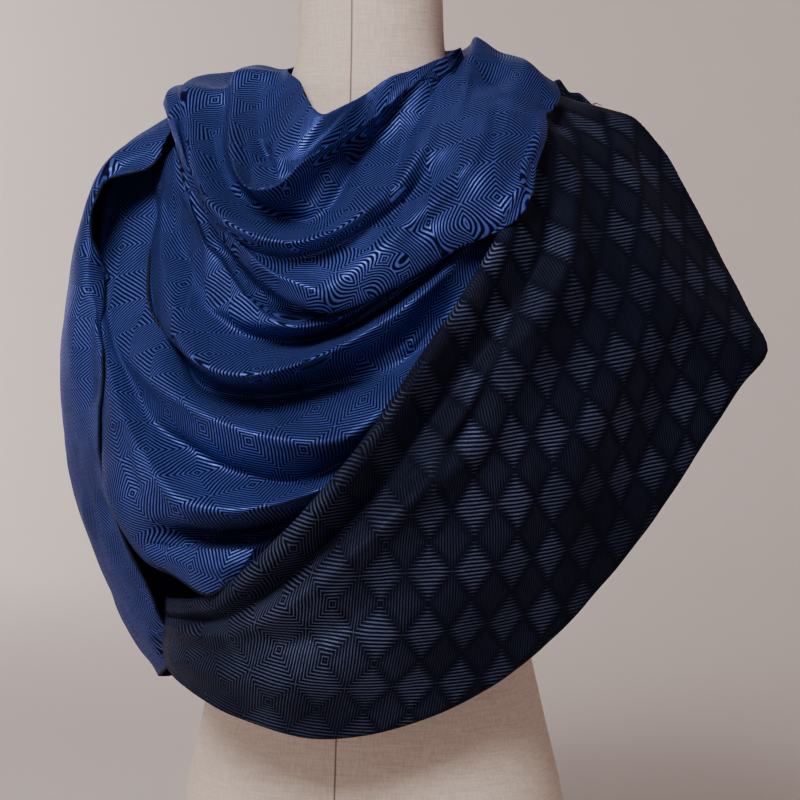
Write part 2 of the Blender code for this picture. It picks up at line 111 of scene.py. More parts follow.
# A ring of the cowl: a fold line round the neck, which is a swag in front and one behind. The columns are
# those of a swag, then across, height and out of the back.
COWL_RINGS = (
    (-57, 776, -8, -34, 727, 78, 61, 780, -8, 1.3, 1.0, 2, 780, -63),
    (-82, 770, -2, -64, 676, 88, 64, 777, -8, 2.4, 1.05, 2, 774, -76),
    (-102, 766, 4, -71, 674, 130, 67, 786, -8, 2.8, 1.05, 2, 788, -90),
    (-110, 754, -2, -46, 655, 98, 71, 777, -12, 2.6, 0.95, 2, 770, -94),
    (-136, 752, -2, -46, 640, 146, 77, 791, -14, 2.2, 1.5, 2, 780, -113),
    (-141, 744, -4, -52, 628, 128, 92, 778, -14, 2.0, 1.5, 2, 764, -115),
    (-145, 737, -2, -34, 606, 151, 112, 768, -8, 1.5, 1.22, 2, 762, -128),
    (-147, 731, 0, -30, 590, 142, 138, 754, -6, 1.5, 1.42, 2, 744, -132),
    (-143, 727, 0, -34, 604, 120, 134, 748, -10, 1.5, 1.42, 2, 739, -124),
)
COWL_ROWS = (2, 2, 3, 3, 2, 2, 2, 2)
COWL_ALONG = (10, 14, 9, 9)
COWL_EDGE_ROWS = 5

# The dark panel between its rolled top fold and its hem, from the right shoulder to the left hip. The
# columns are across, height and out.
DARK_ROLL = (
    (150, 742, -64),
    (146, 750, -14),
    (112, 700, 90),
    (57, 600, 138),
    (23, 541, 170),
    (-12, 491, 184),
    (-57, 440, 184),
    (-103, 398, 160),
    (-141, 384, 106),
    (-150, 378, 62),
    (-158, 374, 30),
)
DARK_HEM = (
    (188, 722, -78),
    (184, 739, -16),
    (212, 718, -6),
    (249, 655, 0),
    (278, 597, 10),
    (296, 559, 20),
    (265, 523, 40),
    (202, 437, 78),
    (127, 359, 114),
    (56, 317, 142),
    (-20, 299, 154),
    (-75, 307, 151),
    (-118, 321, 128),
    (-141, 335, 92),
    (-147, 346, 56),
    (-157, 352, 28),
)
DARK_CORNER_ROW = 5
DARK_BELLY = 22
DARK_FOLDS_FULL = 0.35
# Each fold line of the dark panel: its name, its share of the way to the hem, and how far down and out it
# is moved.
DARK_FOLDS = (
    ("tuck", 0.0, 34, -17),
    ("under", 0.0, 10, -14),
    ("top edge", 0.0, -4, -5),
    ("roll", 0.0, 6, 5),
    ("dip", 0.11, 4, -13),
    ("second ridge", 0.22, 0, 4),
    ("hollow", 0.38, 0, -5),
    ("low ridge", 0.60, 0, 2),
    ("hem dip", 0.84, 0, -3),
    ("hem", 1.0, 0, 0),
)
DARK_ROWS = (1, 2, 2, 2, 2, 3, 3, 2, 1)
DARK_ALONG = (10, 20)
DARK_ROLLED_ROWS = 8
DARK_FOLD_END = 0.4
DARK_FOLD_SPAN = (0.02, 0.98)
DARK_LEAST_FOLD = 0.25
# The panel is lifted over what is below it from here to its shoulder end, in metres.
DARK_LIFT_FROM = -0.02

# The left side and the back. Each row is a level of the cloth from the front edge at the left round behind
# to the right side, with angles in degrees from straight behind. The columns are left half, right half,
# depth, front depth, left angle, left height, back height, right angle and right height.
BACK_LINES = (
    (160, 160, 60, 108, 88, 706, 764, -88, 714),
    (198, 181, 100, 124, 102, 686, 738, -92, 704),
    (216, 191, 122, 132, 108, 655, 704, -95, 698),
    (229, 199, 142, 150, 118, 594, 622, -98, 668),
    (234, 202, 154, 162, 121, 532, 528, -98, 622),
    (224, 197, 162, 170, 122, 464, 430, -98, 560),
    (190, 184, 165, 172, 126, 380, 330, -98, 484),
    (170, 178, 163, 160, 112, 338, 282, -98, 450),
)
BACK_ROWS = (2, 2, 4, 5, 5, 5, 2)
BACK_ALONG = 32
# How far the columns next to the front edge are drawn in to the drape, from the edge itself.
EDGE_SHARES = (1.0, 0.66, 0.34, 0.12)
EDGE_REACH = 40 * MM
EDGE_CLEAR = 1.6 * MM
# The heights between which the edge is laid, and how soon that fades out, in metres.
EDGE_LOW = 0.41
EDGE_HIGH = 0.715
EDGE_FADE = 0.04
# The folds that hang across the back: each runs from its left end to its right one and sags between them.
# The columns are left angle, left height, right angle, right height, sag, half width and out.
BACK_CROSS_FOLDS = (
    (78, 668, -84, 704, 46, 20, 7),
    (84, 612, -92, 682, 78, 23, 9),
    (70, 560, -92, 656, 70, 18, -6),
    (88, 526, -94, 634, 92, 26, 10),
    (60, 470, -94, 590, 60, 20, -7),
    (90, 438, -96, 560, 66, 28, 10),
    (10, 386, -96, 512, 26, 24, 7),
)
FOLD_END = 0.6
# The upright folds that open towards the hem behind. The columns are the angle and the half width, in
# degrees, and out.
BACK_FLUTE_TOP = 640
BACK_FLUTE_FALL = 340
BACK_FLUTE_GROWTH = 1.3
BACK_FLUTES = (
    (84, 8, 7),
    (58, 8, -9),
    (34, 7, 8),
    (8, 8, -8),
    (-22, 8, 9),
    (-50, 8, -8),
    (-76, 7, 7),
)

# The gather on the right shoulder: each row is an arch, left to right. The columns are across, height, how
# high the arch is and how deep.
BUNCH_OUT = -42
BUNCH_SECTIONS = (
    (138, 757, 3, 5),
    (142, 756, 8, 10),
    (148, 754, 12, 13),
    (155, 751, 6, 11),
    (163, 748, 8, 10),
    (173, 744, 3, 7),
)
BUNCH_STEPS = 8

# The small flap above the dark roll: each row is a line from its left tip to its right one. The columns
# are across, height and out of its left end, its middle and its right end.
FLAP_LINES = (
    (-157, 431, 129, -113, 433, 163, -77, 434, 172.5),
    (-155, 424, 133, -112, 420, 169, -83, 427, 175.5),
    (-146, 415, 134, -111, 403, 161, -90, 419, 172.5),
)
FLAP_POINTS = 11


def laid_out(points):
    """An array of across, height and out, in millimetres, as points of the part."""
    across, height, out = np.moveaxis(np.asarray(points, float) * MM, -1, 0)
    x = across * math.cos(DRAPE_TURN) + out * math.sin(DRAPE_TURN)
    y = across * math.sin(DRAPE_TURN) - out * math.cos(DRAPE_TURN)
    return np.stack((x, y, height), axis=-1)


def even(line, count):
    """The line again, with that many points evenly spaced along it."""
    line = np.asarray(line, float)
    steps = np.linalg.norm(np.diff(line, axis=0), axis=1)
    along = np.concatenate(([0], np.cumsum(steps)))
    at = np.linspace(0, along[-1], count)
    return np.stack([np.interp(at, along, line[:, k]) for k in range(line.shape[1])], axis=1)


def smooth_line(points, steps=LINE_STEPS // 2):
    """A Catmull-Rom curve through the points, each of which may be a whole row of points."""
    points = np.asarray(points, float)
    before = 2 * points[:1] - points[1:2]
    after = 2 * points[-1:] - points[-2:-1]
    padded = np.concatenate((before, points, after))
    line = []
    for i in range(len(padded) - 3):
        a, b, c, d = padded[i:i + 4]
        for k in range(steps):
            t = k / steps
            cubic = 2 * b + (c - a) * t + (2 * a - 5 * b + 4 * c - d) * t ** 2
            line.append(0.5 * (cubic + (3 * b - a - 3 * c + d) * t ** 3))
    line.append(padded[-2])
    return np.array(line)


def arm(end, low, full):
    """Half a swag, from its end to its low point."""
    angle = np.linspace(0, math.pi / 2, ARM_SAMPLES)
    across = np.cos(angle) ** (2 / full)
    fall = 1 - np.sin(angle) ** (2 / full)
    reach = 1 - np.sin(angle)
    share = np.stack((across, fall, reach), axis=1)
    return even(low + (end - low) * share, ARM_POINTS + 1)


def swag(left, low, right, left_full, right_full, counts):
    """A whole swag, rounded at its low point, with the given numbers of steps on its two arms."""
    first = arm(left, low, left_full)
    second = arm(right, low, right_full)
    line = np.concatenate((first, second[::-1][1:]))
    for _ in range(SWAG_ROUNDS):
        line[1:-1] = (line[:-2] + 2 * line[1:-1] + line[2:]) / 4
    half = len(first)
    return np.concatenate((even(line[:half], counts[0] + 1), even(line[half - 1:], counts[1] + 1)[1:]))


def swag_line(row, counts):
    """The swag of one row of a table."""
    left, low, right = (np.array(row[k:k + 3], float) for k in (0, 3, 6))
    return swag(left, low, right, row[9], row[10], counts)


def ring_line(row, counts):
    """A closed line round the neck: the swag in front, and the one behind from right to left."""
    front = swag_line(row[:11], counts[:2])
    left, right = front[0], front[-1]
    back = np.array(row[11:14], float)
    behind = swag(right, back, left, 2, 2, counts[2:])
    return np.concatenate((front, behind[1:-1]))


def between(lines, counts):
    """The fold lines with smooth lines added between them, in the given numbers of steps."""
    fine = smooth_line(lines, LINE_STEPS)
    spread = []
    start = 0
    for count in counts:
        at = start + np.arange(count) * LINE_STEPS / count
        low = np.floor(at).astype(int)
        part = (at - low)[:, None, None]
        spread.append(fine[low] * (1 - part) + fine[low + 1] * part)
        start += LINE_STEPS
    spread.append(fine[-1:])
    return np.concatenate(spread)


def clear_of(grid, form, gap):
    """The points moved off the form wherever they are nearer to it than the gap, or inside it."""
    grid = grid.copy()
    for index in np.ndindex(grid.shape[:2]):
        point = Vector(grid[index])
        place, normal, _, _ = form.find_nearest(point)
        if (point - place).dot(normal) < gap:
            grid[index] = place + normal * gap
    return grid


def outward(point):
    """The way out from the form: level at the body, and rising over the shoulders."""
    return Vector((point.x, point.y, max(0, point.z - SHOULDER_BASE) * SHOULDER_RISE)).normalized()


def halved(grid, closed):
    """The grid with a point added halfway between each two neighbours."""
    rows, cols = grid.shape[:2]
    after = np.roll(grid, -1, axis=1)
    wide = np.stack((grid, (grid + after) / 2), axis=2).reshape(rows, 2 * cols, 3)
    if not closed:
        wide = wide[:, :-1]
    fine = np.empty((2 * rows - 1, wide.shape[1], 3))
    fine[::2] = wide
    fine[1::2] = (wide[1:] + wide[:-1]) / 2
    return fine


def laid_edge(grid, lower, gap):
    """The grid with its first columns drawn in until the edge lies on the lower piece."""
    grid = grid.copy()
    for i in range(len(grid)):
        height = grid[i, 0, 2]
        above_low = min(1, max(0, (height - EDGE_LOW) / EDGE_FADE))
        below_high = min(1, max(0, (EDGE_HIGH - height) / EDGE_FADE))
        laid = above_low * below_high
        for j, share in enumerate(EDGE_SHARES):
            place, normal, _, away = lower.find_nearest(Vector(grid[i, j]))
            if away < EDGE_REACH:
                grid[i, j] += (np.array(place + normal * gap) - grid[i, j]) * share * laid
    return grid


def near_most(field, closed):
    """Each place's greatest value among its neighbours'."""
    tall = np.pad(field, ((1, 1), (0, 0)), mode="edge")
    tall = np.max((tall[:-2], tall[1:-1], tall[2:]), axis=0)
    wide = np.pad(tall, ((0, 0), (1, 1)), mode="wrap" if closed else "edge")
    return np.max((wide[:, :-2], wide[:, 1:-1], wide[:, 2:]), axis=0)


def near_mean(field, closed):
    """Each place's mean with its neighbours."""
    tall = np.pad(field, ((1, 1), (0, 0)), mode="edge")
    tall = (tall[:-2] + 2 * tall[1:-1] + tall[2:]) / 4
    wide = np.pad(tall, ((0, 0), (1, 1)), mode="wrap" if closed else "edge")
    return (wide[:, :-2] + 2 * wide[:, 1:-1] + wide[:, 2:]) / 4


def over(grid, lower, gap, where=None, closed=False, rolled=(0, 0)):
    """The points moved out to where they, and the places halfway between them, lie over the lower pieces.

    A rolled edge, which is that many rows at the start or the end, is moved as one.
    """
    fine = halved(grid, closed)
    lift = np.zeros(fine.shape[:2])
    for index in np.ndindex(lift.shape):
        point = Vector(fine[index])
        if where is not None and not where(point):
            continue
        away = outward(point)
        start = point + away * LIFT_REACH
        for tree in lower:
            hit, _, _, far = tree.ray_cast(start, -away, LIFT_REACH + gap)
            if hit is not None:
                lift[index] = max(lift[index], LIFT_REACH - far + gap)
    least = near_most(lift, closed)[::2, ::2]
    lift = least
    for _ in range(LIFT_ROUNDS):
        lift = np.maximum(least, near_mean(lift, closed))
    first, last = rolled
    if first:
        lift[:first] = lift[:first].max(axis=0)
        for k in range(first):
            lift[first + k] = np.maximum(lift[first + k], lift[0] * (1 - (k + 1) / (first + 1)))
    if last:
        lift[-last:] = lift[-last:].max(axis=0)
        for k in range(last):
            lift[-last - 1 - k] = np.maximum(lift[-last - 1 - k], lift[-1] * (1 - (k + 1) / (last + 1)))
    ways = np.array([[outward(Vector(point)) for point in row] for row in grid])
    return grid + ways * lift[..., None]


def dark_grid(steps, rows):
    """The dark panel's fold lines, each a blend of its top roll and its hem."""
    before, after = steps
    shoulder_hem = smooth_line(DARK_HEM[:DARK_CORNER_ROW + 1])
    low_hem = smooth_line(DARK_HEM[DARK_CORNER_ROW:])
    hem = np.concatenate((even(shoulder_hem, before + 1)[:-1], even(low_hem, after + 1)))
    roll = even(smooth_line(DARK_ROLL), len(hem))
    along = np.linspace(0, 1, len(hem))
    fall = hem - roll
    fall = fall / np.linalg.norm(fall, axis=1, keepdims=True)
    fade = np.sin(np.pi * np.clip(along, *DARK_FOLD_SPAN)) ** DARK_FOLD_END
    fade = fade * np.clip(along / DARK_FOLDS_FULL, DARK_LEAST_FOLD, 1)
    lines = []
    for _, share, down, out in DARK_FOLDS:
        line = roll + (hem - roll) * share + fall * down * fade[:, None]
        line[:, 2] += out * fade + DARK_BELLY * np.sin(np.pi * share) * np.sin(np.pi * along)
        lines.append(line)
    return between(lines, rows)


def lifted_part(point):
    """Whether a point of the dark panel is lifted over what is below it."""
    return point.x > DARK_LIFT_FROM


def cross_fold(angle, height, fold):
    """How far out a fold across the back moves the cloth at each angle and height."""
    left_at, left_z, right_at, right_z, sag, half_width, out = fold
    share = np.clip((left_at - angle) / (left_at - right_at), 0, 1)
    fold_height = left_z + (right_z - left_z) * share - sag * 4 * share * (1 - share)
    fade = np.sin(np.pi * share) ** FOLD_END
    return out * fade * np.exp(-((height - fold_height) / half_width) ** 2)


def back_grid(steps, rows):
    """The levels of the cloth at the left side and the back, with its folds."""
    levels = between(np.array(BACK_LINES, float)[:, None, :], rows)[:, 0]
    lines = []
    for left_half, right_half, depth, front_depth, left_at, left_z, back_z, right_at, right_z in levels:
        angle = np.linspace(left_at, right_at, steps + 1)
        turn = np.radians(angle)
        share = np.where(angle > 0, angle / left_at, angle / right_at) ** 2
        height = back_z + (np.where(angle > 0, left_z, right_z) - back_z) * share
        fold = sum(cross_fold(angle, height, row) for row in BACK_CROSS_FOLDS)
        opening = np.clip((BACK_FLUTE_TOP - height) / BACK_FLUTE_FALL, 0, 1) ** BACK_FLUTE_GROWTH
        for at, half_width, out in BACK_FLUTES:
            fold = fold + opening * out * np.exp(-((angle - at) / half_width) ** 2)
        across = -(np.where(angle > 0, left_half, right_half) + fold) * np.sin(turn)
        out = -(np.where(np.abs(angle) > 90, front_depth, depth) + fold) * np.cos(turn)
        lines.append(np.stack((across, height, out), axis=1))
    return np.array(lines)


# The cloth that is shown is a thin sheet on each stretch, tucked in where it lies under another one.
THIN = 0.9 * MM
TUCK_ROOM = 3.0 * MM
TUCK_REACH = 12 * MM
TUCK_PAST = 1.6
TUCK_ROUNDS = 2
LEAST_ROOM = 3.2 * MM
# The panel's first rows are rolled under, so they are drawn in towards the form's middle.
FORM_MIDDLE = np.array((0, 0, 0.5))
ROLLED_ROWS = 26
ROLLED_SINK = 4.5 * MM
COWL_BACK_COLUMN = 33

# Each large stretch of cloth, from the topmost down. The columns are its node, its grid, how finely that is
# divided down and along, which way its outer face was laid, whether it is closed, its slot, and how its
# weave lies: turned by so many degrees, and drawn out along and across its folds.
STRETCHES = (
    ("neck_cowl", "cowl", (9, 7), 1, True, "silk_blue_face", 45, (1.0, 1.0)),
    ("dark_front", "dark", (8, 9), -1, False, "silk_dark_face", 0, (1.2, 0.9)),
    ("back_wrap", "back", (6, 7), -1, False, "silk_blue_face", 8, (1.0, 1.0)),
    ("front_drape", "front", (8, 6), 1, False, "silk_blue_face", 45, (0.95, 1.05)),
)
SMALL_WEAVE = {"flap": (20, (0.9, 1.05)), "bunch": (30, (1, 1))}
FLAP_DIVIDED = (5, 6)
FLAP_DROP = 4 * MM
BUNCH_DIVIDED = (6, 8)
BUNCH_SINK = 2.5 * MM
BUNCH_ASIDE = 4 * MM
PLEATS = 38
PLEAT_HEIGHT = 0.8 * MM

# Laying a stretch flat: the rounds, how firm the links to farther points are, and how fast it settles.
FLAT_ROUNDS = 500
SMALL_FLAT_ROUNDS = 200
FAR_LINK = 4
FAR_FIRM = 0.15
SETTLING = 1.6
TINY = 1e-9

# The camera: its turn and tip in degrees, and its focal length in pixels of its own picture.
CAMERA_TURN = 16
CAMERA_TIP = 5
CAMERA_FAR = 1.5
CAMERA_PIXELS = 1973.7
PICTURE = 800
SENSOR = 36.0
TARGET_AHEAD = 21.3 * MM
TARGET_HEIGHT = 520 * MM

# The creases and ridges of the front. The columns are the grid, the half width in pixels of the camera's
# picture, how far it stands out, or lies in, in millimetres, and the line it runs along in that picture.
FRONT_CREASES = (
    ("cowl", 7, 4.5, ((232, 112), (234, 150), (248, 182), (268, 194), (290, 180), (320, 150), (360, 110),
     (402, 74), (422, 62))),
    ("cowl", 8, -8, ((258, 140), (266, 168), (276, 176), (292, 162))),
    ("cowl", 8, -8, ((238, 116), (241, 160), (252, 200), (275, 216), (300, 222), (322, 214), (342, 180),
     (362, 140), (395, 97))),
    ("cowl", 5, -4, ((448, 60), (431, 96), (416, 123), (402, 156), (394, 181), (386, 202))),
    ("cowl", 9, 3.5, ((195, 104), (193, 130), (203, 170), (223, 217), (250, 233), (283, 243), (317, 241),
     (350, 233), (383, 217), (404, 187), (418, 147), (440, 88))),
    ("cowl", 5, -4, ((206, 122), (212, 160), (226, 192), (246, 214))),
    ("cowl", 6, 3, ((246, 258), (275, 272), (306, 284), (323, 297), (330, 308))),
    ("cowl", 9, -4, ((500, 88), (496, 130), (474, 176), (438, 218), (396, 244))),
    ("cowl", 6, 3, ((547, 112), (532, 162), (510, 202), (482, 238))),
    ("cowl", 5, 2.5, ((470, 66), (462, 100), (446, 136), (432, 168))),
    ("front", 12, -8, ((216, 240), (238, 276), (272, 304), (304, 314))),
    ("front", 8, 4, ((197, 305), (223, 308), (250, 322), (283, 327), (317, 327), (335, 322))),
    ("front", 9, -9, ((190, 326), (215, 338), (250, 343), (283, 345), (327, 337), (367, 317), (400, 290),
     (450, 257), (480, 214))),
    ("front", 10, 5, ((147, 313), (177, 337), (200, 360), (233, 373), (267, 374), (317, 363), (367, 350),
     (400, 323), (427, 287), (460, 243))),
    ("front", 9, -10, ((164, 131), (152, 177), (137, 244), (134, 292), (142, 322), (175, 361), (219, 390),
     (250, 397), (283, 395), (333, 385), (383, 380), (413, 367), (433, 340), (462, 290))),
    ("front", 11, 5, ((146, 140), (120, 200), (111, 260), (114, 300), (124, 343), (158, 381), (200, 407),
     (250, 427), (300, 440), (343, 440), (370, 423), (402, 388))),
    ("front", 6, -3, ((250, 409), (290, 412), (332, 402))),
    ("front", 9, -8, ((150, 425), (183, 448), (217, 467), (250, 478), (283, 487), (317, 480), (340, 463))),
    ("front", 9, 4, ((148, 440), (160, 467), (173, 493), (193, 507), (233, 511), (267, 505), (300, 492))),
    ("front", 9, -9, ((134, 527), (167, 533), (200, 537), (233, 533), (267, 523), (300, 510), (333, 488))),
    ("front", 5, 3, ((172, 112), (182, 181), (198, 215), (207, 240), (209, 270), (205, 300))),
    ("front", 6, -4, ((184, 250), (186, 285), (176, 318))),
    ("front", 6, -3, ((118, 420), (126, 462), (138, 500))),
    ("dark", 12, 4, ((512, 196), (486, 240), (450, 300), (427, 352), (403, 388), (383, 421), (350, 463),
     (317, 503), (283, 540), (250, 574), (217, 597), (178, 604))),
    ("dark", 11, -8, ((536, 330), (500, 376), (467, 433), (433, 467), (383, 502), (343, 535), (300, 566),
     (267, 590), (233, 605), (200, 611))),
    ("dark", 13, 5, ((517, 417), (450, 467), (400, 507), (350, 547), (300, 586), (250, 612), (205, 620))),
    ("dark", 12, -4, ((193, 634), (250, 638), (300, 640), (333, 632), (380, 600))),
    ("dark", 12, -3, ((548, 420), (545, 480), (536, 560))),
    ("dark", 14, 3, ((640, 330), (590, 430), (560, 520))),
    ("dark", 14, -3, ((700, 300), (660, 420), (620, 520))),
    ("dark", 9, -3, ((572, 120), (590, 190), (600, 270), (588, 330))),
    ("dark", 10, 2.5, ((610, 130), (636, 200), (652, 270))),
    ("back", 7, -4, ((88, 290), (86, 350), (91, 410))),
    ("back", 6, 3, ((112, 176), (98, 230), (94, 290))),
    ("back", 6, -3, ((96, 450), (108, 510), (126, 570))),
    ("front", 9, -11, ((146, 527), (180, 535), (220, 539), (262, 533), (312, 512), (350, 490))),
)
CREASE_ENDS = 2.2
FRONT_FADE = 25 * MM
FRONT_FROM = 1.2
# Finer creases that run across the back, between its main folds, with the same columns as those.
BACK_CREASES = (
    (74, 700, -60, 716, 20, 7, -2.2),
    (86, 646, 10, 640, 24, 8, 3),
    (40, 600, -88, 676, 40, 8, -3),
    (84, 574, -20, 560, 30, 7, -2.6),
    (30, 530, -90, 640, 46, 8, 3),
    (88, 500, 0, 476, 22, 8, -3),
    (50, 470, -92, 606, 60, 8, -3),
    (88, 450, 30, 420, 12, 7, 2.4),
    (0, 440, -92, 560, 40, 9, 3),
    (60, 400, -60, 440, 20, 8, -2.4),
    (20, 350, -90, 470, 16, 8, 2.6),
)
# Slow ripples over all the cloth: how many to the metre, and how high in millimetres.
RIPPLES = ((36.0, 0.9), (85.0, 0.35))
# Where an edge lies a little beside its solid's. The columns are the grids, the place in the picture, the
# reach in pixels, and how far it is moved to the right and up, in millimetres.
NUDGES = (
    (("cowl", "dark"), (566, 104), 30, -11, 0),
    (("cowl",), (548, 170), 26, -7, 0),
    (("back",), (148, 662), 34, 10, -10),
    (("dark",), (170, 650), 34, -5, -4),
    (("cowl",), (285, 50), 22, 0, -9),
    (("cowl",), (545, 78), 30, -3, -4),
)

# The rolled hems, the stitches round them and the loose threads.
HEMS = {"front": (), "back": ("first", "bottom", "last"), "dark": ("bottom", "last", "first"), "cowl": ()}
HEM = 1.05 * MM
HEM_SIDES = 8
STITCHES = {"spacing": 4.6 * MM, "hem_radius": HEM * 1.12, "thread_radius": 0.16 * MM, "slant": 0.75}
WISPS = 6
WISP = 0.22 * MM
WISP_SIDES = 6
WISP_POINTS = 14
KNOT_STEP = 6
SAME_PLACE = 1e-5
SKEW = (0.31, 0.17, 0.94)  # a direction that no cord runs in

SILK_ROUGHNESS = 0.52
# How fine the mottling of a thread or a hem is and how detailed, then its roughness and its gloss.
THREAD_LOOK = (700.0, 2.0, 0.6, 0.1)
HEM_LOOK = (260.0, 3.0, 0.7, 0.08)
COVER_STEPS = 5
COVER_SIDES = 120
COVER_SHARP = 50

# The studio: a round floor that curves up into a wall, in metres.
FLOOR_SIDES = 72
FLOOR_HOLE = 0.02
FLOOR_MIDDLE = 1.2
CURVE_FROM = 2.2
CURVE_STEPS = 12
WALL_HEIGHT = 3.2
AIR_COLOUR = (1.0, 0.975, 0.95, 1)
AIR_STRENGTH = 0.05
# The columns are the light's name, its place, what it is turned to, its width, its power and its colour.
LIGHTS = (
    ("Window", (-0.15, -1.75, 2.0), (0, 0, 0.5), 0.8, 57, (1.0, 0.985, 0.97)),
    ("Left", (-1.9, -0.9, 1.0), (0, 0, 0.6), 0.8, 6, (1.0, 0.97, 0.95)),
    ("Behind", (-0.9, 2.0, 2.0), (0, 0, 0.5), 1.4, 8, (1.0, 0.98, 0.97)),
    ("Wall wash", (-2.8, 1.7, 1.1), (-2.4, 3.1, 0.8), 1.1, 112, (1.0, 0.965, 0.945)),
)


def grid_faces(rows, cols, closed, laid=1):
    """The corners of each face of a grid. Laid -1 turns the faces over."""
    i, j = np.meshgrid(np.arange(rows - 1), np.arange(cols if closed else cols - 1), indexing="ij")
    after = (j + 1) % cols
    quads = np.stack((i * cols + j, (i + 1) * cols + j, (i + 1) * cols + after, i * cols + after), axis=-1)
    return quads.reshape(-1, 4)[:, ::laid]


def surface_tree(grid, closed=False):
    """The grid's faces as a tree that rays and nearest points are looked up in."""
    rows, cols = grid.shape[:2]
    return BVHTree.FromPolygons(grid.reshape(-1, 3).tolist(), grid_faces(rows, cols, closed).tolist())


def refine(grid, down, along, closed=False):
    """The grid with smooth rows and columns added between its own."""
    cols = grid.shape[1]
    if closed:
        grid = np.concatenate((grid[:, -2:], grid, grid[:, :3]), axis=1)
    fine = smooth_line(grid, down)
    fine = np.swapaxes(smooth_line(np.swapaxes(fine, 0, 1), along), 0, 1)
    if closed:
        fine = fine[:, 2 * along:(2 + cols) * along]
    return fine


def shares(grid):
    """Each point's share of the way down the grid, and of the way along it."""
    rows, cols = grid.shape[:2]
    return np.meshgrid(np.linspace(0, 1, rows), np.linspace(0, 1, cols), indexing="ij")


def flattened(grid, rounds=FLAT_ROUNDS):
    """Where each point of an open grid lies once the cloth is laid flat with as little stretch as can be."""
    rows, cols = grid.shape[:2]
    across = np.linalg.norm(np.diff(grid, axis=1), axis=2)
    down = np.linalg.norm(np.diff(grid, axis=0), axis=2)
    flat = np.zeros((rows, cols, 2))
    flat[:, 1:, 0] = np.cumsum(across.mean(axis=0))
    flat[:, :, 0] -= flat[:, cols // 2, 0].mean()
    flat[1:, :, 1] = -np.cumsum(down.mean(axis=1))[:, None]
    whole, ahead, behind = slice(None), slice(1, None), slice(None, -1)
    far_ahead, far_behind = slice(FAR_LINK, None), slice(None, -FAR_LINK)
    pairs = (
        ((whole, behind), (whole, ahead), 1.0),
        ((behind, whole), (ahead, whole), 1.0),
        ((behind, behind), (ahead, ahead), 1.0),
        ((behind, ahead), (ahead, behind), 1.0),
        ((whole, far_behind), (whole, far_ahead), FAR_FIRM),
        ((far_behind, whole), (far_ahead, whole), FAR_FIRM),
    )
    links = [(a, b, firm, np.linalg.norm(grid[a] - grid[b], axis=2)) for a, b, firm in pairs]
    for _ in range(rounds):
        push = np.zeros_like(flat)
        weight = np.full((rows, cols, 1), TINY)
        for a, b, firm, rest in links:
            gap = flat[b] - flat[a]
            length = np.maximum(np.linalg.norm(gap, axis=2), TINY)
            move = gap * ((length - rest) / length * 0.5 * firm)[..., None]
            push[a] += move
            push[b] -= move
            weight[a] += firm
            weight[b] += firm
        flat += push / weight * SETTLING
    return flat


def weave_map(flat, turn, stretched, down, along):
    """The flat cloth on the weave's own axes, in metres, for the fine grid. It is stretched on the bias."""
    fine = refine(flat, down, along)
    middle = fine[fine.shape[0] // 2, fine.shape[1] // 2]
    p, q = np.moveaxis(fine - middle, -1, 0)
    angle = math.radians(turn + 45)
    first = (p * math.cos(angle) - q * math.sin(angle)) / stretched[0]
    second = (p * math.sin(angle) + q * math.cos(angle)) / stretched[1]
    return np.stack(((first + second) * math.sqrt(0.5), (second - first) * math.sqrt(0.5)), axis=-1)


def camera_away():
    """The way from what the camera looks at to the camera."""
    turn, tip = math.radians(CAMERA_TURN), math.radians(CAMERA_TIP)
    return np.array((math.sin(turn) * math.cos(tip), -math.cos(turn) * math.cos(tip), math.sin(tip)))


def camera_target():
    turn = math.radians(CAMERA_TURN)
    return Vector((TARGET_AHEAD * math.cos(turn), TARGET_AHEAD * math.sin(turn), TARGET_HEIGHT))


def in_picture(points):
    """Where points are seen in the camera's picture, in pixels."""
    away = camera_away()
    right = np.array((math.cos(math.radians(CAMERA_TURN)), math.sin(math.radians(CAMERA_TURN)), 0))
    up = np.cross(away, right)
    rel = points - np.array(camera_target())
    scale = CAMERA_PIXELS / (CAMERA_FAR - rel @ away)
    return np.stack((PICTURE / 2 + scale * (rel @ right), PICTURE / 2 - scale * (rel @ up)), axis=-1)


def near_line(places, line):
    """How far each place is from a line, and its share of the way along the line."""
    steps = np.linalg.norm(np.diff(line, axis=0), axis=1)
    starts = np.concatenate(([0], np.cumsum(steps)[:-1]))
    best = np.full(places.shape[:2], np.inf)
    share = np.zeros(places.shape[:2])
    for a, b, step, start in zip(line, line[1:], steps, starts):
        along = np.clip(((places - a) @ (b - a)) / step ** 2, 0, 1)
        far = np.linalg.norm(places - (a + along[..., None] * (b - a)), axis=-1)
        closer = far < best
        best = np.where(closer, far, best)
        share = np.where(closer, (start + along * step) / steps.sum(), share)
    return best, share


def ways_out(grid):
    """The way out from the form at each point."""
    rise = np.maximum(0, grid[..., 2] - SHOULDER_BASE) * SHOULDER_RISE
    level = np.stack((grid[..., 0], grid[..., 1], rise), axis=-1)
    return level / np.linalg.norm(level, axis=-1, keepdims=True)


def faces_front(grid):
    """How much each point is at the side of the cloth that the camera sees, from 0 to 1."""
    out = grid[..., 0] * math.sin(DRAPE_TURN) - grid[..., 1] * math.cos(DRAPE_TURN)
    return np.clip(out / FRONT_FADE + FRONT_FROM, 0, 1)


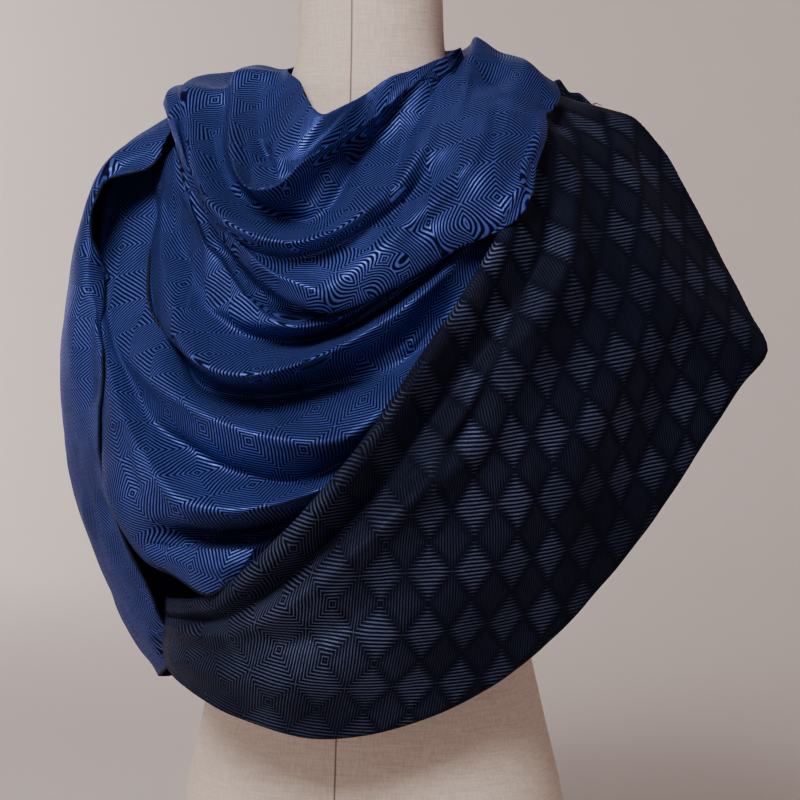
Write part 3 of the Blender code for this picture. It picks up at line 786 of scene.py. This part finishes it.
def creased(key, grid):
    """The fine grid with its creases and ridges laid in."""
    places = in_picture(grid)
    out = np.zeros(grid.shape[:2])
    for name, half_width, depth, line in FRONT_CREASES:
        if name == key:
            far, share = near_line(places, smooth_line(line, 4))
            fade = np.clip(np.sin(np.pi * share) * CREASE_ENDS, 0, 1)
            out += depth * np.exp(-(far / half_width) ** 2) * fade
    out *= faces_front(grid)
    if key == "back":
        angle = np.degrees(np.arctan2(-grid[..., 0], grid[..., 1])) + math.degrees(DRAPE_TURN)
        for row in BACK_CREASES:
            out += cross_fold(angle, grid[..., 2] / MM, row)
    for keys, place, reach, right, up in NUDGES:
        if key in keys:
            weight = np.exp(-(np.linalg.norm(places - place, axis=-1) / reach) ** 2) * MM
            aside = right * np.array(laid_out((1 / MM, 0, 0))) + up * np.array((0, 0, 1))
            grid = grid + weight[..., None] * aside
    for scale, height in RIPPLES:
        flat = grid.reshape(-1, 3) * scale
        wave = np.array([noise.noise(point) for point in flat.tolist()])
        out += height * wave.reshape(out.shape)
    return grid + ways_out(grid) * (out * MM)[..., None]


def tucked_under(grid, upper, closed, form, rolled):
    """The grid with what lies under another stretch moved in, where the two would come too near."""
    push = np.zeros(grid.shape[:2])
    ways = ways_out(grid)
    if rolled:
        away = grid - FORM_MIDDLE
        ways[(away * ways).sum(axis=2) < 0] *= -1
        away /= np.linalg.norm(away, axis=2, keepdims=True)
        ending = np.clip(1 - np.arange(len(grid)) / ROLLED_ROWS, 0, 1)
        grid = grid - away * (ROLLED_SINK * ending)[:, None, None]
    for i, j in np.ndindex(push.shape):
        point, way = Vector(grid[i, j]), Vector(ways[i, j])
        for tree in upper:
            hit, _, _, far = tree.ray_cast(point + way * TUCK_REACH, -way, TUCK_REACH * TUCK_PAST)
            if hit is not None:
                push[i, j] = max(push[i, j], TUCK_ROOM - (TUCK_REACH - far))
    push = np.clip(push, 0, 2 * TUCK_ROOM)
    for _ in range(TUCK_ROUNDS):
        push = np.maximum(push, near_mean(push, closed))
    return clear_of(grid - ways * push[..., None], form, LEAST_ROOM)


def linked(name, data):
    obj = bpy.data.objects.new(name, data)
    bpy.context.scene.collection.objects.link(obj)
    return obj


def sheet_of_cloth(name, grid, weave, faces, laid=1, closed=False):
    """A thin shell through the grid, with the first material on its outer side and the second within."""
    rows, cols = grid.shape[:2]
    mesh = bpy.data.meshes.new(name)
    mesh.from_pydata(grid.reshape(-1, 3).tolist(), [], grid_faces(rows, cols, closed, laid).tolist())
    corner = grid_faces(rows, weave.shape[1], False, laid).reshape(-1)
    layer = mesh.uv_layers.new(name="Weave")
    layer.data.foreach_set("uv", weave.reshape(-1, 2)[corner].astype(np.float32).reshape(-1))
    mesh.shade_smooth()
    for face in faces:
        mesh.materials.append(face)
    obj = linked(name, mesh)
    wall = obj.modifiers.new("Wall", "SOLIDIFY")
    wall.thickness = THIN
    wall.offset = -laid
    wall.material_offset = 1
    wall.material_offset_rim = 0
    return obj


def cloth_grids():
    """The coarse grids of the four large stretches, which are the solids' own."""
    form = form_tree()
    front = [swag_line(row, FRONT_ALONG) for row in FRONT_SWAGS]
    front = clear_of(laid_out(between(front, FRONT_ROWS)), form, CLEAR_OF_FORM + CLOTH)
    drape = surface_tree(front)
    back = clear_of(laid_out(back_grid(BACK_ALONG, BACK_ROWS)), form, BACK_CLEAR_OF_FORM + CLOTH)
    back = over(back, [drape], BETWEEN_LAYERS + CLOTH)
    back = laid_edge(back, drape, EDGE_CLEAR)
    behind = surface_tree(back)
    dark = clear_of(laid_out(dark_grid(DARK_ALONG, DARK_ROWS)), form, CLEAR_OF_FORM + CLOTH)
    dark = over(dark, [drape, behind], PANEL_CLEAR + CLOTH, where=lifted_part, rolled=(DARK_ROLLED_ROWS, 0))
    panel = surface_tree(dark)
    cowl = [ring_line(row, COWL_ALONG) for row in COWL_RINGS]
    cowl = clear_of(laid_out(between(cowl, COWL_ROWS)), form, CLEAR_OF_FORM + CLOTH)
    cowl = over(cowl, [drape, behind, panel], CLEAR_UNDER_COWL, closed=True, rolled=(0, COWL_EDGE_ROWS))
    cowl = np.roll(cowl, -COWL_BACK_COLUMN, axis=1)
    return {"front": front, "back": back, "dark": dark, "cowl": cowl}


def torso_ring(height, half, front, back, sides):
    """One level ring of the form, in metres, from a section in millimetres."""
    power = 2 / FORM_SQUARENESS
    turn = 2 * np.pi * np.arange(sides) / sides
    side, ahead = np.sin(turn), np.cos(turn)
    x = half * np.sign(side) * np.abs(side) ** power
    y = -np.where(ahead > 0, front, back) * np.sign(ahead) * np.abs(ahead) ** power
    return np.stack((x, y, np.full(sides, float(height))), axis=1) * MM


def form_tree():
    rings = np.array([torso_ring(*row, FORM_SIDES) for row in FORM_SECTIONS])
    return surface_tree(rings[::-1], closed=True)


def border(grid, edge):
    """Every other point along one of the grid's edges."""
    return {"bottom": grid[-1], "first": grid[:, 0], "last": grid[:, -1]}[edge][::2]


def ring_mesh(name, rings, finish):
    """A smooth closed form through rings of points, with flat ends."""
    mesh = bpy.data.meshes.new(name)
    work = bmesh.new()
    loops = [[work.verts.new(point) for point in ring] for ring in rings]
    sides = len(loops[0])
    for lower, upper in zip(loops, loops[1:]):
        for k in range(sides):
            after = (k + 1) % sides
            work.faces.new((lower[k], lower[after], upper[after], upper[k]))
    work.faces.new(loops[0][::-1])
    work.faces.new(loops[-1])
    bmesh.ops.recalc_face_normals(work, faces=work.faces)
    work.to_mesh(mesh)
    work.free()
    mesh.shade_smooth()
    mesh.materials.append(finish)
    return mesh


def tube(name, line, radius, sides, finish, wobble, seed):
    """A thin cord along the line, a little uneven, with closed ends."""
    rng = np.random.default_rng(seed)
    steps = np.linalg.norm(np.diff(line, axis=0), axis=1)
    line = line[np.concatenate(([True], steps > SAME_PLACE))]
    along = np.gradient(line, axis=0)
    along /= np.linalg.norm(along, axis=1, keepdims=True)
    up = np.cross(along, SKEW)
    up /= np.maximum(np.linalg.norm(up, axis=1, keepdims=True), TINY)
    side = np.cross(along, up)
    knots = np.arange(0, len(line) + KNOT_STEP, KNOT_STEP)
    size = radius * (1 + wobble * np.interp(np.arange(len(line)), knots, rng.uniform(-1, 1, len(knots))))
    turn = 2 * np.pi * np.arange(sides) / sides
    rings = line[:, None] + size[:, None, None] * (np.cos(turn)[None, :, None] * up[:, None]
                                                  + np.sin(turn)[None, :, None] * side[:, None])
    return linked(name, ring_mesh(name, rings, finish))


class Nodes:
    """A node tree with short ways to add nodes and join them."""

    def __init__(self, tree):
        self.tree = tree

    def add(self, kind, given=None, **settings):
        """A new node with its settings. Each given value is joined to, or set on, the input of that name."""
        node = self.tree.nodes.new(kind)
        for name, value in settings.items():
            setattr(node, name, value)
        for name, value in (given or {}).items():
            self.join(value, node.inputs[name])
        return node

    def join(self, value, socket):
        if hasattr(value, "is_output"):
            self.tree.links.new(value, socket)
        else:
            socket.default_value = value

    def math(self, operation, *values, clamp=False):
        node = self.add("ShaderNodeMath", dict(enumerate(values)), operation=operation, use_clamp=clamp)
        return node.outputs[0]

    def mix(self, share, first, second):
        return self.add("ShaderNodeMix", {"Factor": share, 6: first, 7: second}, data_type="RGBA").outputs[2]

    def remap(self, value, low, high, to_low=0.0, to_high=1.0):
        values = dict(enumerate((value, low, high, to_low, to_high)))
        return self.add("ShaderNodeMapRange", values, interpolation_type="SMOOTHSTEP").outputs[0]

    def noise(self, vector, scale, detail=2.0, stretch=None):
        if stretch is not None:
            vector = self.add("ShaderNodeMapping", {"Vector": vector, "Scale": stretch}).outputs[0]
        given = {"Vector": vector, "Scale": scale, "Detail": detail}
        return self.add("ShaderNodeTexNoise", given, noise_dimensions="3D").outputs["Fac"]

    def bump(self, height, strength, distance):
        given = {"Strength": strength, "Distance": distance, "Height": height}
        return self.add("ShaderNodeBump", given).outputs[0]

    def where(self):
        return self.add("ShaderNodeTexCoord").outputs["Object"]

    def across(self, where):
        """How far to the right a place is."""
        return self.add("ShaderNodeSeparateXYZ", {0: where}).outputs[0]


def node_group(name, tree_kind, inputs, outputs):
    """A group with named inputs, each of a kind and maybe with a value, and named outputs."""
    tree = bpy.data.node_groups.new(name, tree_kind)
    for label, kind, *value in inputs:
        socket = tree.interface.new_socket(label, in_out="INPUT", socket_type="NodeSocket" + kind)
        if value:
            socket.default_value = value[0]
    for label, kind in outputs:
        tree.interface.new_socket(label, in_out="OUTPUT", socket_type="NodeSocket" + kind)
    nodes = Nodes(tree)
    return tree, nodes, nodes.add("NodeGroupInput").outputs, nodes.add("NodeGroupOutput").inputs


def stitch_tree(finish):
    """Whipped stitches round a rolled hem: a small slanted ring of thread at each step along its line."""
    tree, nodes, given, made = node_group(
        "Whipped stitches", "GeometryNodeTree",
        (("Line", "Geometry"), ("Spacing", "Float"), ("Hem radius", "Float"), ("Thread radius", "Float"),
         ("Slant", "Float"), ("Seed", "Int")),
        (("Stitches", "Geometry"),))
    curve = nodes.add("GeometryNodeMeshToCurve", {"Mesh": given["Line"]}).outputs["Curve"]
    steps = nodes.add("GeometryNodeResampleCurve", {"Curve": curve}, mode="LENGTH")
    nodes.join(given["Spacing"], steps.inputs["Length"])
    circle = "GeometryNodeCurvePrimitiveCircle"
    ring = nodes.add(circle, {"Resolution": 9, "Radius": given["Hem radius"]}).outputs["Curve"]
    thread = nodes.add(circle, {"Resolution": 3, "Radius": given["Thread radius"]}).outputs["Curve"]
    stitch = nodes.add("GeometryNodeCurveToMesh", {"Curve": ring, "Profile Curve": thread})
    tangent = nodes.add("GeometryNodeInputTangent").outputs[0]
    turned = nodes.add("FunctionNodeAlignRotationToVector", {"Vector": tangent}, axis="Z")
    least, most = (nodes.math("MULTIPLY", given["Slant"], share) for share in (0.7, 1.3))
    slant = nodes.add("FunctionNodeRandomValue", {2: least, 3: most, "Seed": given["Seed"]},
                      data_type="FLOAT")
    lean = nodes.add("ShaderNodeCombineXYZ", {0: slant.outputs[1]})
    tilted = nodes.add("FunctionNodeEulerToRotation", {0: lean.outputs[0]})
    whole = nodes.add("FunctionNodeRotateRotation", {0: turned.outputs[0], 1: tilted.outputs[0]},
                      rotation_space="LOCAL")
    placed = nodes.add("GeometryNodeInstanceOnPoints", {"Points": steps.outputs["Curve"],
                                                        "Instance": stitch.outputs["Mesh"],
                                                        "Rotation": whole.outputs[0]})
    real = nodes.add("GeometryNodeRealizeInstances", {0: placed.outputs[0]})
    coloured = nodes.add("GeometryNodeSetMaterial", {"Geometry": real.outputs[0], "Material": finish})
    nodes.join(coloured.outputs[0], made["Stitches"])
    return tree


def stitched(name, line, tree, **values):
    """The stitches along a line, as a plain mesh. Each named input of the tree takes its value."""
    mesh = bpy.data.meshes.new(name + "_line")
    mesh.from_pydata(line.tolist(), [(k, k + 1) for k in range(len(line) - 1)], [])
    guide = linked(name + "_line", mesh)
    maker = guide.modifiers.new("Stitches", "NODES")
    maker.node_group = tree
    named = {item.name: item.identifier for item in tree.interface.items_tree if item.in_out == "INPUT"}
    for label, value in values.items():
        maker[named[label.replace("_", " ").capitalize()]] = value
    seen = guide.evaluated_get(bpy.context.evaluated_depsgraph_get())
    made = bpy.data.meshes.new_from_object(seen)
    bpy.data.objects.remove(guide)
    made.name = name
    return linked(name, made)


def diamond_twill_group():
    """Nested diamonds of twill lines, from the weave's own axes in metres."""
    tree, nodes, given, made = node_group(
        "Diamond twill", "ShaderNodeTree",
        (("Weave", "Vector"), ("Repeat", "Float", 50 * MM), ("Lines", "Float", 16.0),
         ("Thread", "Float", 0.84 * MM), ("Waver", "Float", 0.9 * MM), ("Taper", "Float", 0.0),
         ("Thin", "Float", 0.0)),
        (("Line", "Float"), ("Slope", "Float"), ("Thread", "Float"), ("Slub", "Float")))
    weave, repeat = given["Weave"], given["Repeat"]
    split = nodes.add("ShaderNodeSeparateXYZ", {0: weave}).outputs
    half = nodes.math("MULTIPLY", repeat, 0.5)
    turns = nodes.math("DIVIDE", 2 * math.pi, given["Thread"])
    folds, sides, rising, threads = [], [], [], []
    for axis, scale, stretch in ((0, 42.0, None), (1, 55.0, (1.0, 1.3, 1.0))):
        waver = nodes.math("SUBTRACT", nodes.noise(weave, scale, 1.0, stretch), 0.5)
        place = nodes.math("MULTIPLY_ADD", waver, given["Waver"], split[axis])
        fold = nodes.math("PINGPONG", place, half)
        folds.append(fold)
        sides.append(nodes.math("MINIMUM", fold, nodes.math("SUBTRACT", half, fold)))
        rising.append(nodes.math("GREATER_THAN", nodes.math("WRAP", place, repeat, 0.0), half))
        threads.append(nodes.math("SINE", nodes.math("MULTIPLY", place, turns)))
    phase = nodes.math("MULTIPLY", nodes.math("DIVIDE", nodes.math("ADD", *folds), repeat), given["Lines"])
    wave = nodes.math("COSINE", nodes.math("MULTIPLY", phase, 2 * math.pi))
    near_side = nodes.remap(nodes.math("MINIMUM", *sides), 0.0, 0.006, 1.0, 0.0)
    thinned = nodes.math("MULTIPLY_ADD", near_side, given["Taper"], given["Thin"])
    nodes.join(nodes.remap(nodes.math("SUBTRACT", wave, thinned), -0.45, 0.75), made["Line"])
    nodes.join(nodes.math("ABSOLUTE", nodes.math("SUBTRACT", *rising)), made["Slope"])
    nodes.join(nodes.math("MULTIPLY_ADD", nodes.math("MULTIPLY", *threads), 0.5, 0.5), made["Thread"])
    slub = nodes.math("ADD", nodes.noise(weave, 1.0, 3.0, (900.0, 22.0, 1.0)),
                      nodes.noise(weave, 1.0, 3.0, (22.0, 900.0, 1.0)))
    nodes.join(nodes.remap(slub, 0.7, 1.3), made["Slub"])
    return tree


def new_material(name, **settings):
    """A material, its nodes and its shader's inputs, of which those named in settings are set."""
    made = bpy.data.materials.new(name)
    made.use_nodes = True
    shader = made.node_tree.nodes["Principled BSDF"].inputs
    for label, value in settings.items():
        shader[{"gloss": "Specular IOR Level"}.get(label, label.capitalize())].default_value = value
    return made, Nodes(made.node_tree), shader


def silk(name, twill, ground, line, sheenless_slope_line, lit_left_line, dotted, taper, sheen, gloss, uneven, thin):
    """One face of the silk. The two factors after line give the painted light on the other slope's lines:
    how bright they are painted without their sheen, and how bright at the left, for light from the left.
    """
    made, nodes, shader = new_material(name, gloss=gloss)
    weave = nodes.add("ShaderNodeUVMap", uv_map="Weave").outputs[0]
    group = nodes.add("ShaderNodeGroup", node_tree=twill)
    nodes.join(weave, group.inputs["Weave"])
    nodes.join(thin, group.inputs["Thin"])
    out = group.outputs
    worn = nodes.remap(nodes.noise(weave, 9.0, 3.0), 0.3, 0.7, 1.0 - uneven, 1.0 + uneven * 0.6)
    # Painted light from the left: towards the left, the other slope's lines are painted brighter and thinned
    # less. Noise wavers the edge of this painted light.
    left_light_place = nodes.math("MULTIPLY_ADD", nodes.noise(weave, 6.0, 1.0), 0.12, nodes.across(nodes.where()))
    left = nodes.remap(left_light_place, 0.17, 0.02)
    # Painted sheen: away from the left, the other slope's lines are painted darker for the sheen that they
    # lack.
    other_slope_painted_light = nodes.math("MULTIPLY_ADD", left, lit_left_line - sheenless_slope_line, sheenless_slope_line)
    # The lines are thinned less at the left, as part of the painted light from the left.
    nodes.join(nodes.math("MULTIPLY_ADD", left, -0.85 * taper, taper), group.inputs["Taper"])
    # The lines of one slope keep their full brightness. Those of the other take this painted light and
    # shade.
    slope = nodes.math("ADD", other_slope_painted_light, nodes.math("MULTIPLY", out["Slope"], nodes.math("SUBTRACT", 1.0, other_slope_painted_light)))
    dots = nodes.math("MULTIPLY_ADD", out["Thread"], dotted, 1.0 - dotted)
    slub = nodes.math("MULTIPLY_ADD", out["Slub"], 0.5, 0.72)
    share = nodes.math("MULTIPLY", nodes.math("MULTIPLY", out["Line"], slope),
                       nodes.math("MULTIPLY", dots, slub), clamp=True)
    share = nodes.math("MULTIPLY", share, worn, clamp=True)
    nodes.join(nodes.mix(share, (*ground, 1), (*line, 1)), shader["Base Color"])
    rough, smooth = SILK_ROUGHNESS + 0.1, SILK_ROUGHNESS - 0.06
    nodes.join(nodes.remap(share, 0.0, 1.0, rough, smooth), shader["Roughness"])
    height = nodes.math("MULTIPLY_ADD", out["Thread"], 0.35, nodes.math("MULTIPLY", out["Line"], 0.65))
    nodes.join(nodes.bump(height, 0.45, 0.12 * MM), shader["Normal"])
    nodes.join(nodes.math("MULTIPLY", share, sheen), shader["Metallic"])
    shader["Specular Tint"].default_value = (0.35, 0.45, 0.85, 1)
    return made


def thread_material(name, dark, light, scale, detail, roughness, gloss):
    """Thread, or an edge of cloth, that is a little uneven in tone."""
    made, nodes, shader = new_material(name, roughness=roughness, gloss=gloss)
    tone = nodes.noise(nodes.where(), scale, detail)
    nodes.join(nodes.mix(tone, (*dark, 1), (*light, 1)), shader["Base Color"])
    return made


def linen_material():
    """Unbleached plain-woven linen, with uneven threads and a seam down its middle."""
    made, nodes, shader = new_material("Natural linen", roughness=0.92)
    where = nodes.where()
    upright = nodes.noise(where, 1.0, 2.0, (1300.0, 1300.0, 60.0))
    level = nodes.noise(where, 1.0, 2.0, (60.0, 60.0, 1300.0))
    cloud = nodes.noise(where, 7.0, 3.0)
    threads = nodes.math("MULTIPLY", nodes.math("ADD", upright, level), 0.5)
    base = nodes.mix(nodes.remap(threads, 0.36, 0.62), (0.54, 0.43, 0.365, 1), (0.70, 0.575, 0.495, 1))
    base = nodes.mix(nodes.remap(cloud, 0.35, 0.75, 0.0, 0.3), base, (0.62, 0.49, 0.42, 1))
    seam = nodes.remap(nodes.math("ABSOLUTE", nodes.across(where)), 0.0003, 0.0010, 1.0, 0.0)
    base = nodes.mix(nodes.math("MULTIPLY", seam, 0.85), base, (0.10, 0.075, 0.06, 1))
    nodes.join(base, shader["Base Color"])
    nodes.join(nodes.bump(nodes.math("SUBTRACT", threads, seam), 0.5, 0.2 * MM), shader["Normal"])
    return made


def waxed_wood():
    """Turned wood with bands of grain and fine pores."""
    made, nodes, shader = new_material("Waxed wood")
    where = nodes.where()
    warp = nodes.noise(where, 6.0, 2.0)
    bands = {"Vector": where, "Scale": 22.0, "Distortion": 5.0, "Detail": 3.0, "Detail Scale": 1.4}
    rings = nodes.add("ShaderNodeTexWave", bands, wave_type="BANDS", bands_direction="X")
    pores = nodes.noise(where, 1.0, 2.0, (60.0, 900.0, 900.0))
    grain = nodes.math("MULTIPLY", rings.outputs["Fac"], nodes.remap(pores, 0.3, 0.7, 0.6, 1.0))
    base = nodes.mix(grain, (0.085, 0.042, 0.018, 1), (0.24, 0.125, 0.055, 1))
    base = nodes.mix(nodes.remap(warp, 0.3, 0.8, 0.0, 0.35), base, (0.13, 0.065, 0.03, 1))
    nodes.join(base, shader["Base Color"])
    nodes.join(nodes.remap(grain, 0.0, 1.0, 0.52, 0.4), shader["Roughness"])
    return made


def worn_on_form(piece, replaced=None):
    """The piece, riding with the form and the solid that it replaces."""
    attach(piece, "root")
    if replaced:
        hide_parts(replaced)
    return piece


def dressed_form(cover):
    """The linen-covered form, rounder than its solid."""
    rows = smooth_line(np.array(FORM_SECTIONS, float), COVER_STEPS)
    rings = np.array([torso_ring(*row, COVER_SIDES) for row in rows])
    rings[:, :, 2] = np.clip(rings[:, :, 2], FORM_SECTIONS[0][0] * MM, FORM_SECTIONS[-1][0] * MM)
    mesh = ring_mesh("linen_form", rings, cover)
    mesh.set_sharp_from_angle(angle=math.radians(COVER_SHARP))
    worn_on_form(linked("linen_form", mesh), "form_torso")


def camera():
    away = Vector(camera_away())
    data = bpy.data.cameras.new("Camera")
    data.sensor_fit = "HORIZONTAL"
    data.sensor_width = SENSOR
    data.lens = CAMERA_PIXELS * SENSOR / PICTURE
    obj = linked("Camera", data)
    obj.location = camera_target() + away * CAMERA_FAR
    obj.rotation_euler = away.to_track_quat("Z", "Y").to_euler()
    bpy.context.scene.camera = obj


def area_light(name, place, target, size, power, colour):
    data = bpy.data.lights.new(name, "AREA")
    data.shape = "SQUARE"
    data.size = size
    data.energy = power
    data.color = colour
    obj = linked(name, data)
    obj.location = place
    obj.rotation_euler = (Vector(place) - Vector(target)).to_track_quat("Z", "Y").to_euler()


def studio():
    """A round pale studio, with its main light above the front and a light on the wall behind."""
    profile = [(FLOOR_HOLE, 0.0), (FLOOR_MIDDLE, 0.0), (CURVE_FROM, 0.0)]
    for angle in np.linspace(0.1, math.pi / 2, CURVE_STEPS):
        profile.append((CURVE_FROM + math.sin(angle), 1.0 - math.cos(angle)))
    profile.append((CURVE_FROM + 1.0, WALL_HEIGHT))
    turn = 2 * np.pi * np.arange(FLOOR_SIDES) / FLOOR_SIDES
    points = [(r * math.cos(t), r * math.sin(t), z) for r, z in profile for t in turn]
    faces = grid_faces(len(profile), FLOOR_SIDES, True).tolist()
    mesh = bpy.data.meshes.new("studio_floor")
    mesh.from_pydata(points, [], [list(range(FLOOR_SIDES))] + faces)
    mesh.shade_smooth()
    plaster, _, shader = new_material("Studio plaster", roughness=0.95)
    shader["Base Color"].default_value = (0.68, 0.60, 0.575, 1)
    mesh.materials.append(plaster)
    linked("studio_floor", mesh)
    world = bpy.data.worlds.new("Studio air")
    world.use_nodes = True
    air = world.node_tree.nodes["Background"].inputs
    air["Color"].default_value = AIR_COLOUR
    air["Strength"].default_value = AIR_STRENGTH
    bpy.context.scene.world = world
    for light in LIGHTS:
        area_light(*light)


def tucked_flap(outer, inner, hem_finish):
    """The small flap above the dark roll, with its rolled hem."""
    lines = [even(smooth_line([row[k:k + 3] for k in (0, 3, 6)]), FLAP_POINTS) for row in FLAP_LINES]
    coarse = laid_out(between(lines, (2, 2)))
    fine = refine(coarse, *FLAP_DIVIDED)
    down, along = shares(fine)
    wave = 1.1 * np.sin(along * 9.0 + down * 2.0) * down + 0.6 * np.sin(along * 23.0 + 1.0) * (1 - down)
    fine = fine + ways_out(fine) * (wave * MM)[..., None]
    fine[..., 2] -= FLAP_DROP * down * along
    flat = flattened(coarse, SMALL_FLAT_ROUNDS)
    weave = weave_map(flat, *SMALL_WEAVE["flap"], *FLAP_DIVIDED)
    flap = sheet_of_cloth("cloth_tucked_corner", fine, weave, (outer, inner))
    worn_on_form(flap, "tucked_corner")
    hem = tube("hem_tucked_corner", border(fine, "bottom"), HEM * 0.8, HEM_SIDES, hem_finish, 0.15, 31)
    worn_on_form(hem)


def gathered_bunch(outer, inner):
    """The gathered end on the shoulder, with its fine pleats."""
    lines = []
    for across, height, arch, deep in BUNCH_SECTIONS:
        angle = np.linspace(0, math.pi, BUNCH_STEPS + 1)
        level = np.full(BUNCH_STEPS + 1, across)
        out = BUNCH_OUT + deep * np.cos(angle)
        lines.append(np.stack((level, height + arch * np.sin(angle), out), axis=1))
    coarse = laid_out(between(lines, (2,) * (len(lines) - 1)))
    fine = refine(coarse, *BUNCH_DIVIDED)
    down, along = shares(fine)
    pleat = np.sin(along * PLEATS + 2.2 * np.sin(down * 5)) * np.sin(np.pi * along) ** 0.5
    fine = fine + ways_out(fine) * (pleat * PLEAT_HEIGHT)[..., None] - np.array((BUNCH_ASIDE, 0, BUNCH_SINK))
    flat = flattened(coarse, SMALL_FLAT_ROUNDS)
    weave = weave_map(flat, *SMALL_WEAVE["bunch"], *BUNCH_DIVIDED)
    bunch = sheet_of_cloth("cloth_shoulder_bunch", fine, weave, (outer, inner))
    worn_on_form(bunch, "shoulder_bunch")
    loose_threads(fine)


def loose_threads(bunch):
    """Wisps of thread at the gather's end."""
    rng = np.random.default_rng(12)
    root = bunch[-1, bunch.shape[1] // 3]
    finish = thread_material("Dark thread", (0.006, 0.0075, 0.015), (0.012, 0.015, 0.03), *THREAD_LOOK)
    wisps = []
    for k in range(WISPS):
        aim = np.array((rng.uniform(0.2, 1.0), rng.uniform(-0.7, 0.4), rng.uniform(-0.5, 0.7)))
        curl = rng.uniform(-1, 1, 3)
        step = np.linspace(0, 1, WISP_POINTS)[:, None]
        droop = np.array((0, 0, 1)) * step ** 2 * 3
        line = root + (aim * step * 9 + curl * np.sin(step * 4) * 1.6 - droop) * MM
        wisp = tube(f"loose_thread_{k}", line, WISP, WISP_SIDES, finish, 0.3, 40 + k)
        wisps.append(worn_on_form(wisp))
    return wisps


def stretch_of_cloth(row, grid, upper, form, faces, hem_finish, stitches):
    """One large stretch: its creased and tucked sheet, its rolled hems and their stitches."""
    node, key, (down, along), laid, closed, slot, turn, stretched = row
    fine = creased(key, refine(grid, down, along, closed))
    if upper:
        fine = tucked_under(fine, upper, closed, form, key == "dark")
    open_grid = np.concatenate((grid, grid[:, :1]), axis=1) if closed else grid
    flat = flattened(open_grid)
    weave = weave_map(flat, turn, stretched, down, along)
    piece = sheet_of_cloth("cloth_" + node, fine, weave, faces, laid, closed)
    worn_on_form(piece, node)
    edging = []
    for n, edge in enumerate(HEMS[key]):
        line = border(fine, edge)
        hem = tube(f"hem_{node}_{n}", line, HEM, HEM_SIDES, hem_finish, 0.18, 5 + n)
        whip = stitched(f"stitches_{node}_{n}", line, stitches, seed=n + 3, **STITCHES)
        edging += [worn_on_form(hem), worn_on_form(whip)]
    return fine


def main():
    camera()
    studio()
    twill = diamond_twill_group()
    # The two factors after the line colour paint the other slope's lines darker, for the sheen that they
    # lack, and brighter at the left, as painted light from the left.
    blue = silk("Blue silk face", twill, (0.0016, 0.0022, 0.0165), (0.090, 0.130, 0.50), sheenless_slope_line=0.85,
                lit_left_line=0.85, dotted=0.35, taper=0.0, sheen=0.7, gloss=0.10, uneven=0.35, thin=0.1)
    dark = silk("Dark silk face", twill, (0.0040, 0.0042, 0.0100), (0.080, 0.096, 0.185), sheenless_slope_line=0.24,
                lit_left_line=0.95, dotted=0.7, taper=0.8, sheen=0.3, gloss=0.05, uneven=0.7, thin=0.2)
    faces = {"front": (blue, dark), "back": (blue, dark), "dark": (dark, blue), "cowl": (blue, blue)}
    hem_finish = thread_material("Rolled hem", (0.002, 0.003, 0.006), (0.010, 0.013, 0.030), *HEM_LOOK)
    hem_thread = thread_material("Hem thread", (0.01, 0.012, 0.025), (0.02, 0.024, 0.05), *THREAD_LOOK)
    stitches = stitch_tree(hem_thread)
    dressed_form(linen_material())
    form = form_tree()
    grids = cloth_grids()
    upper = []
    for row in STRETCHES:
        key = row[1]
        fine = stretch_of_cloth(row, grids[key], upper, form, faces[key], hem_finish, stitches)
        upper.append(surface_tree(fine, key == "cowl"))
    tucked_flap(blue, dark, hem_finish)
    gathered_bunch(dark, blue)
    wood = waxed_wood()
    for node in ("form_neck_cap", "form_post", "form_base"):
        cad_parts[node].data.materials.clear()
        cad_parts[node].data.materials.append(wood)


main()
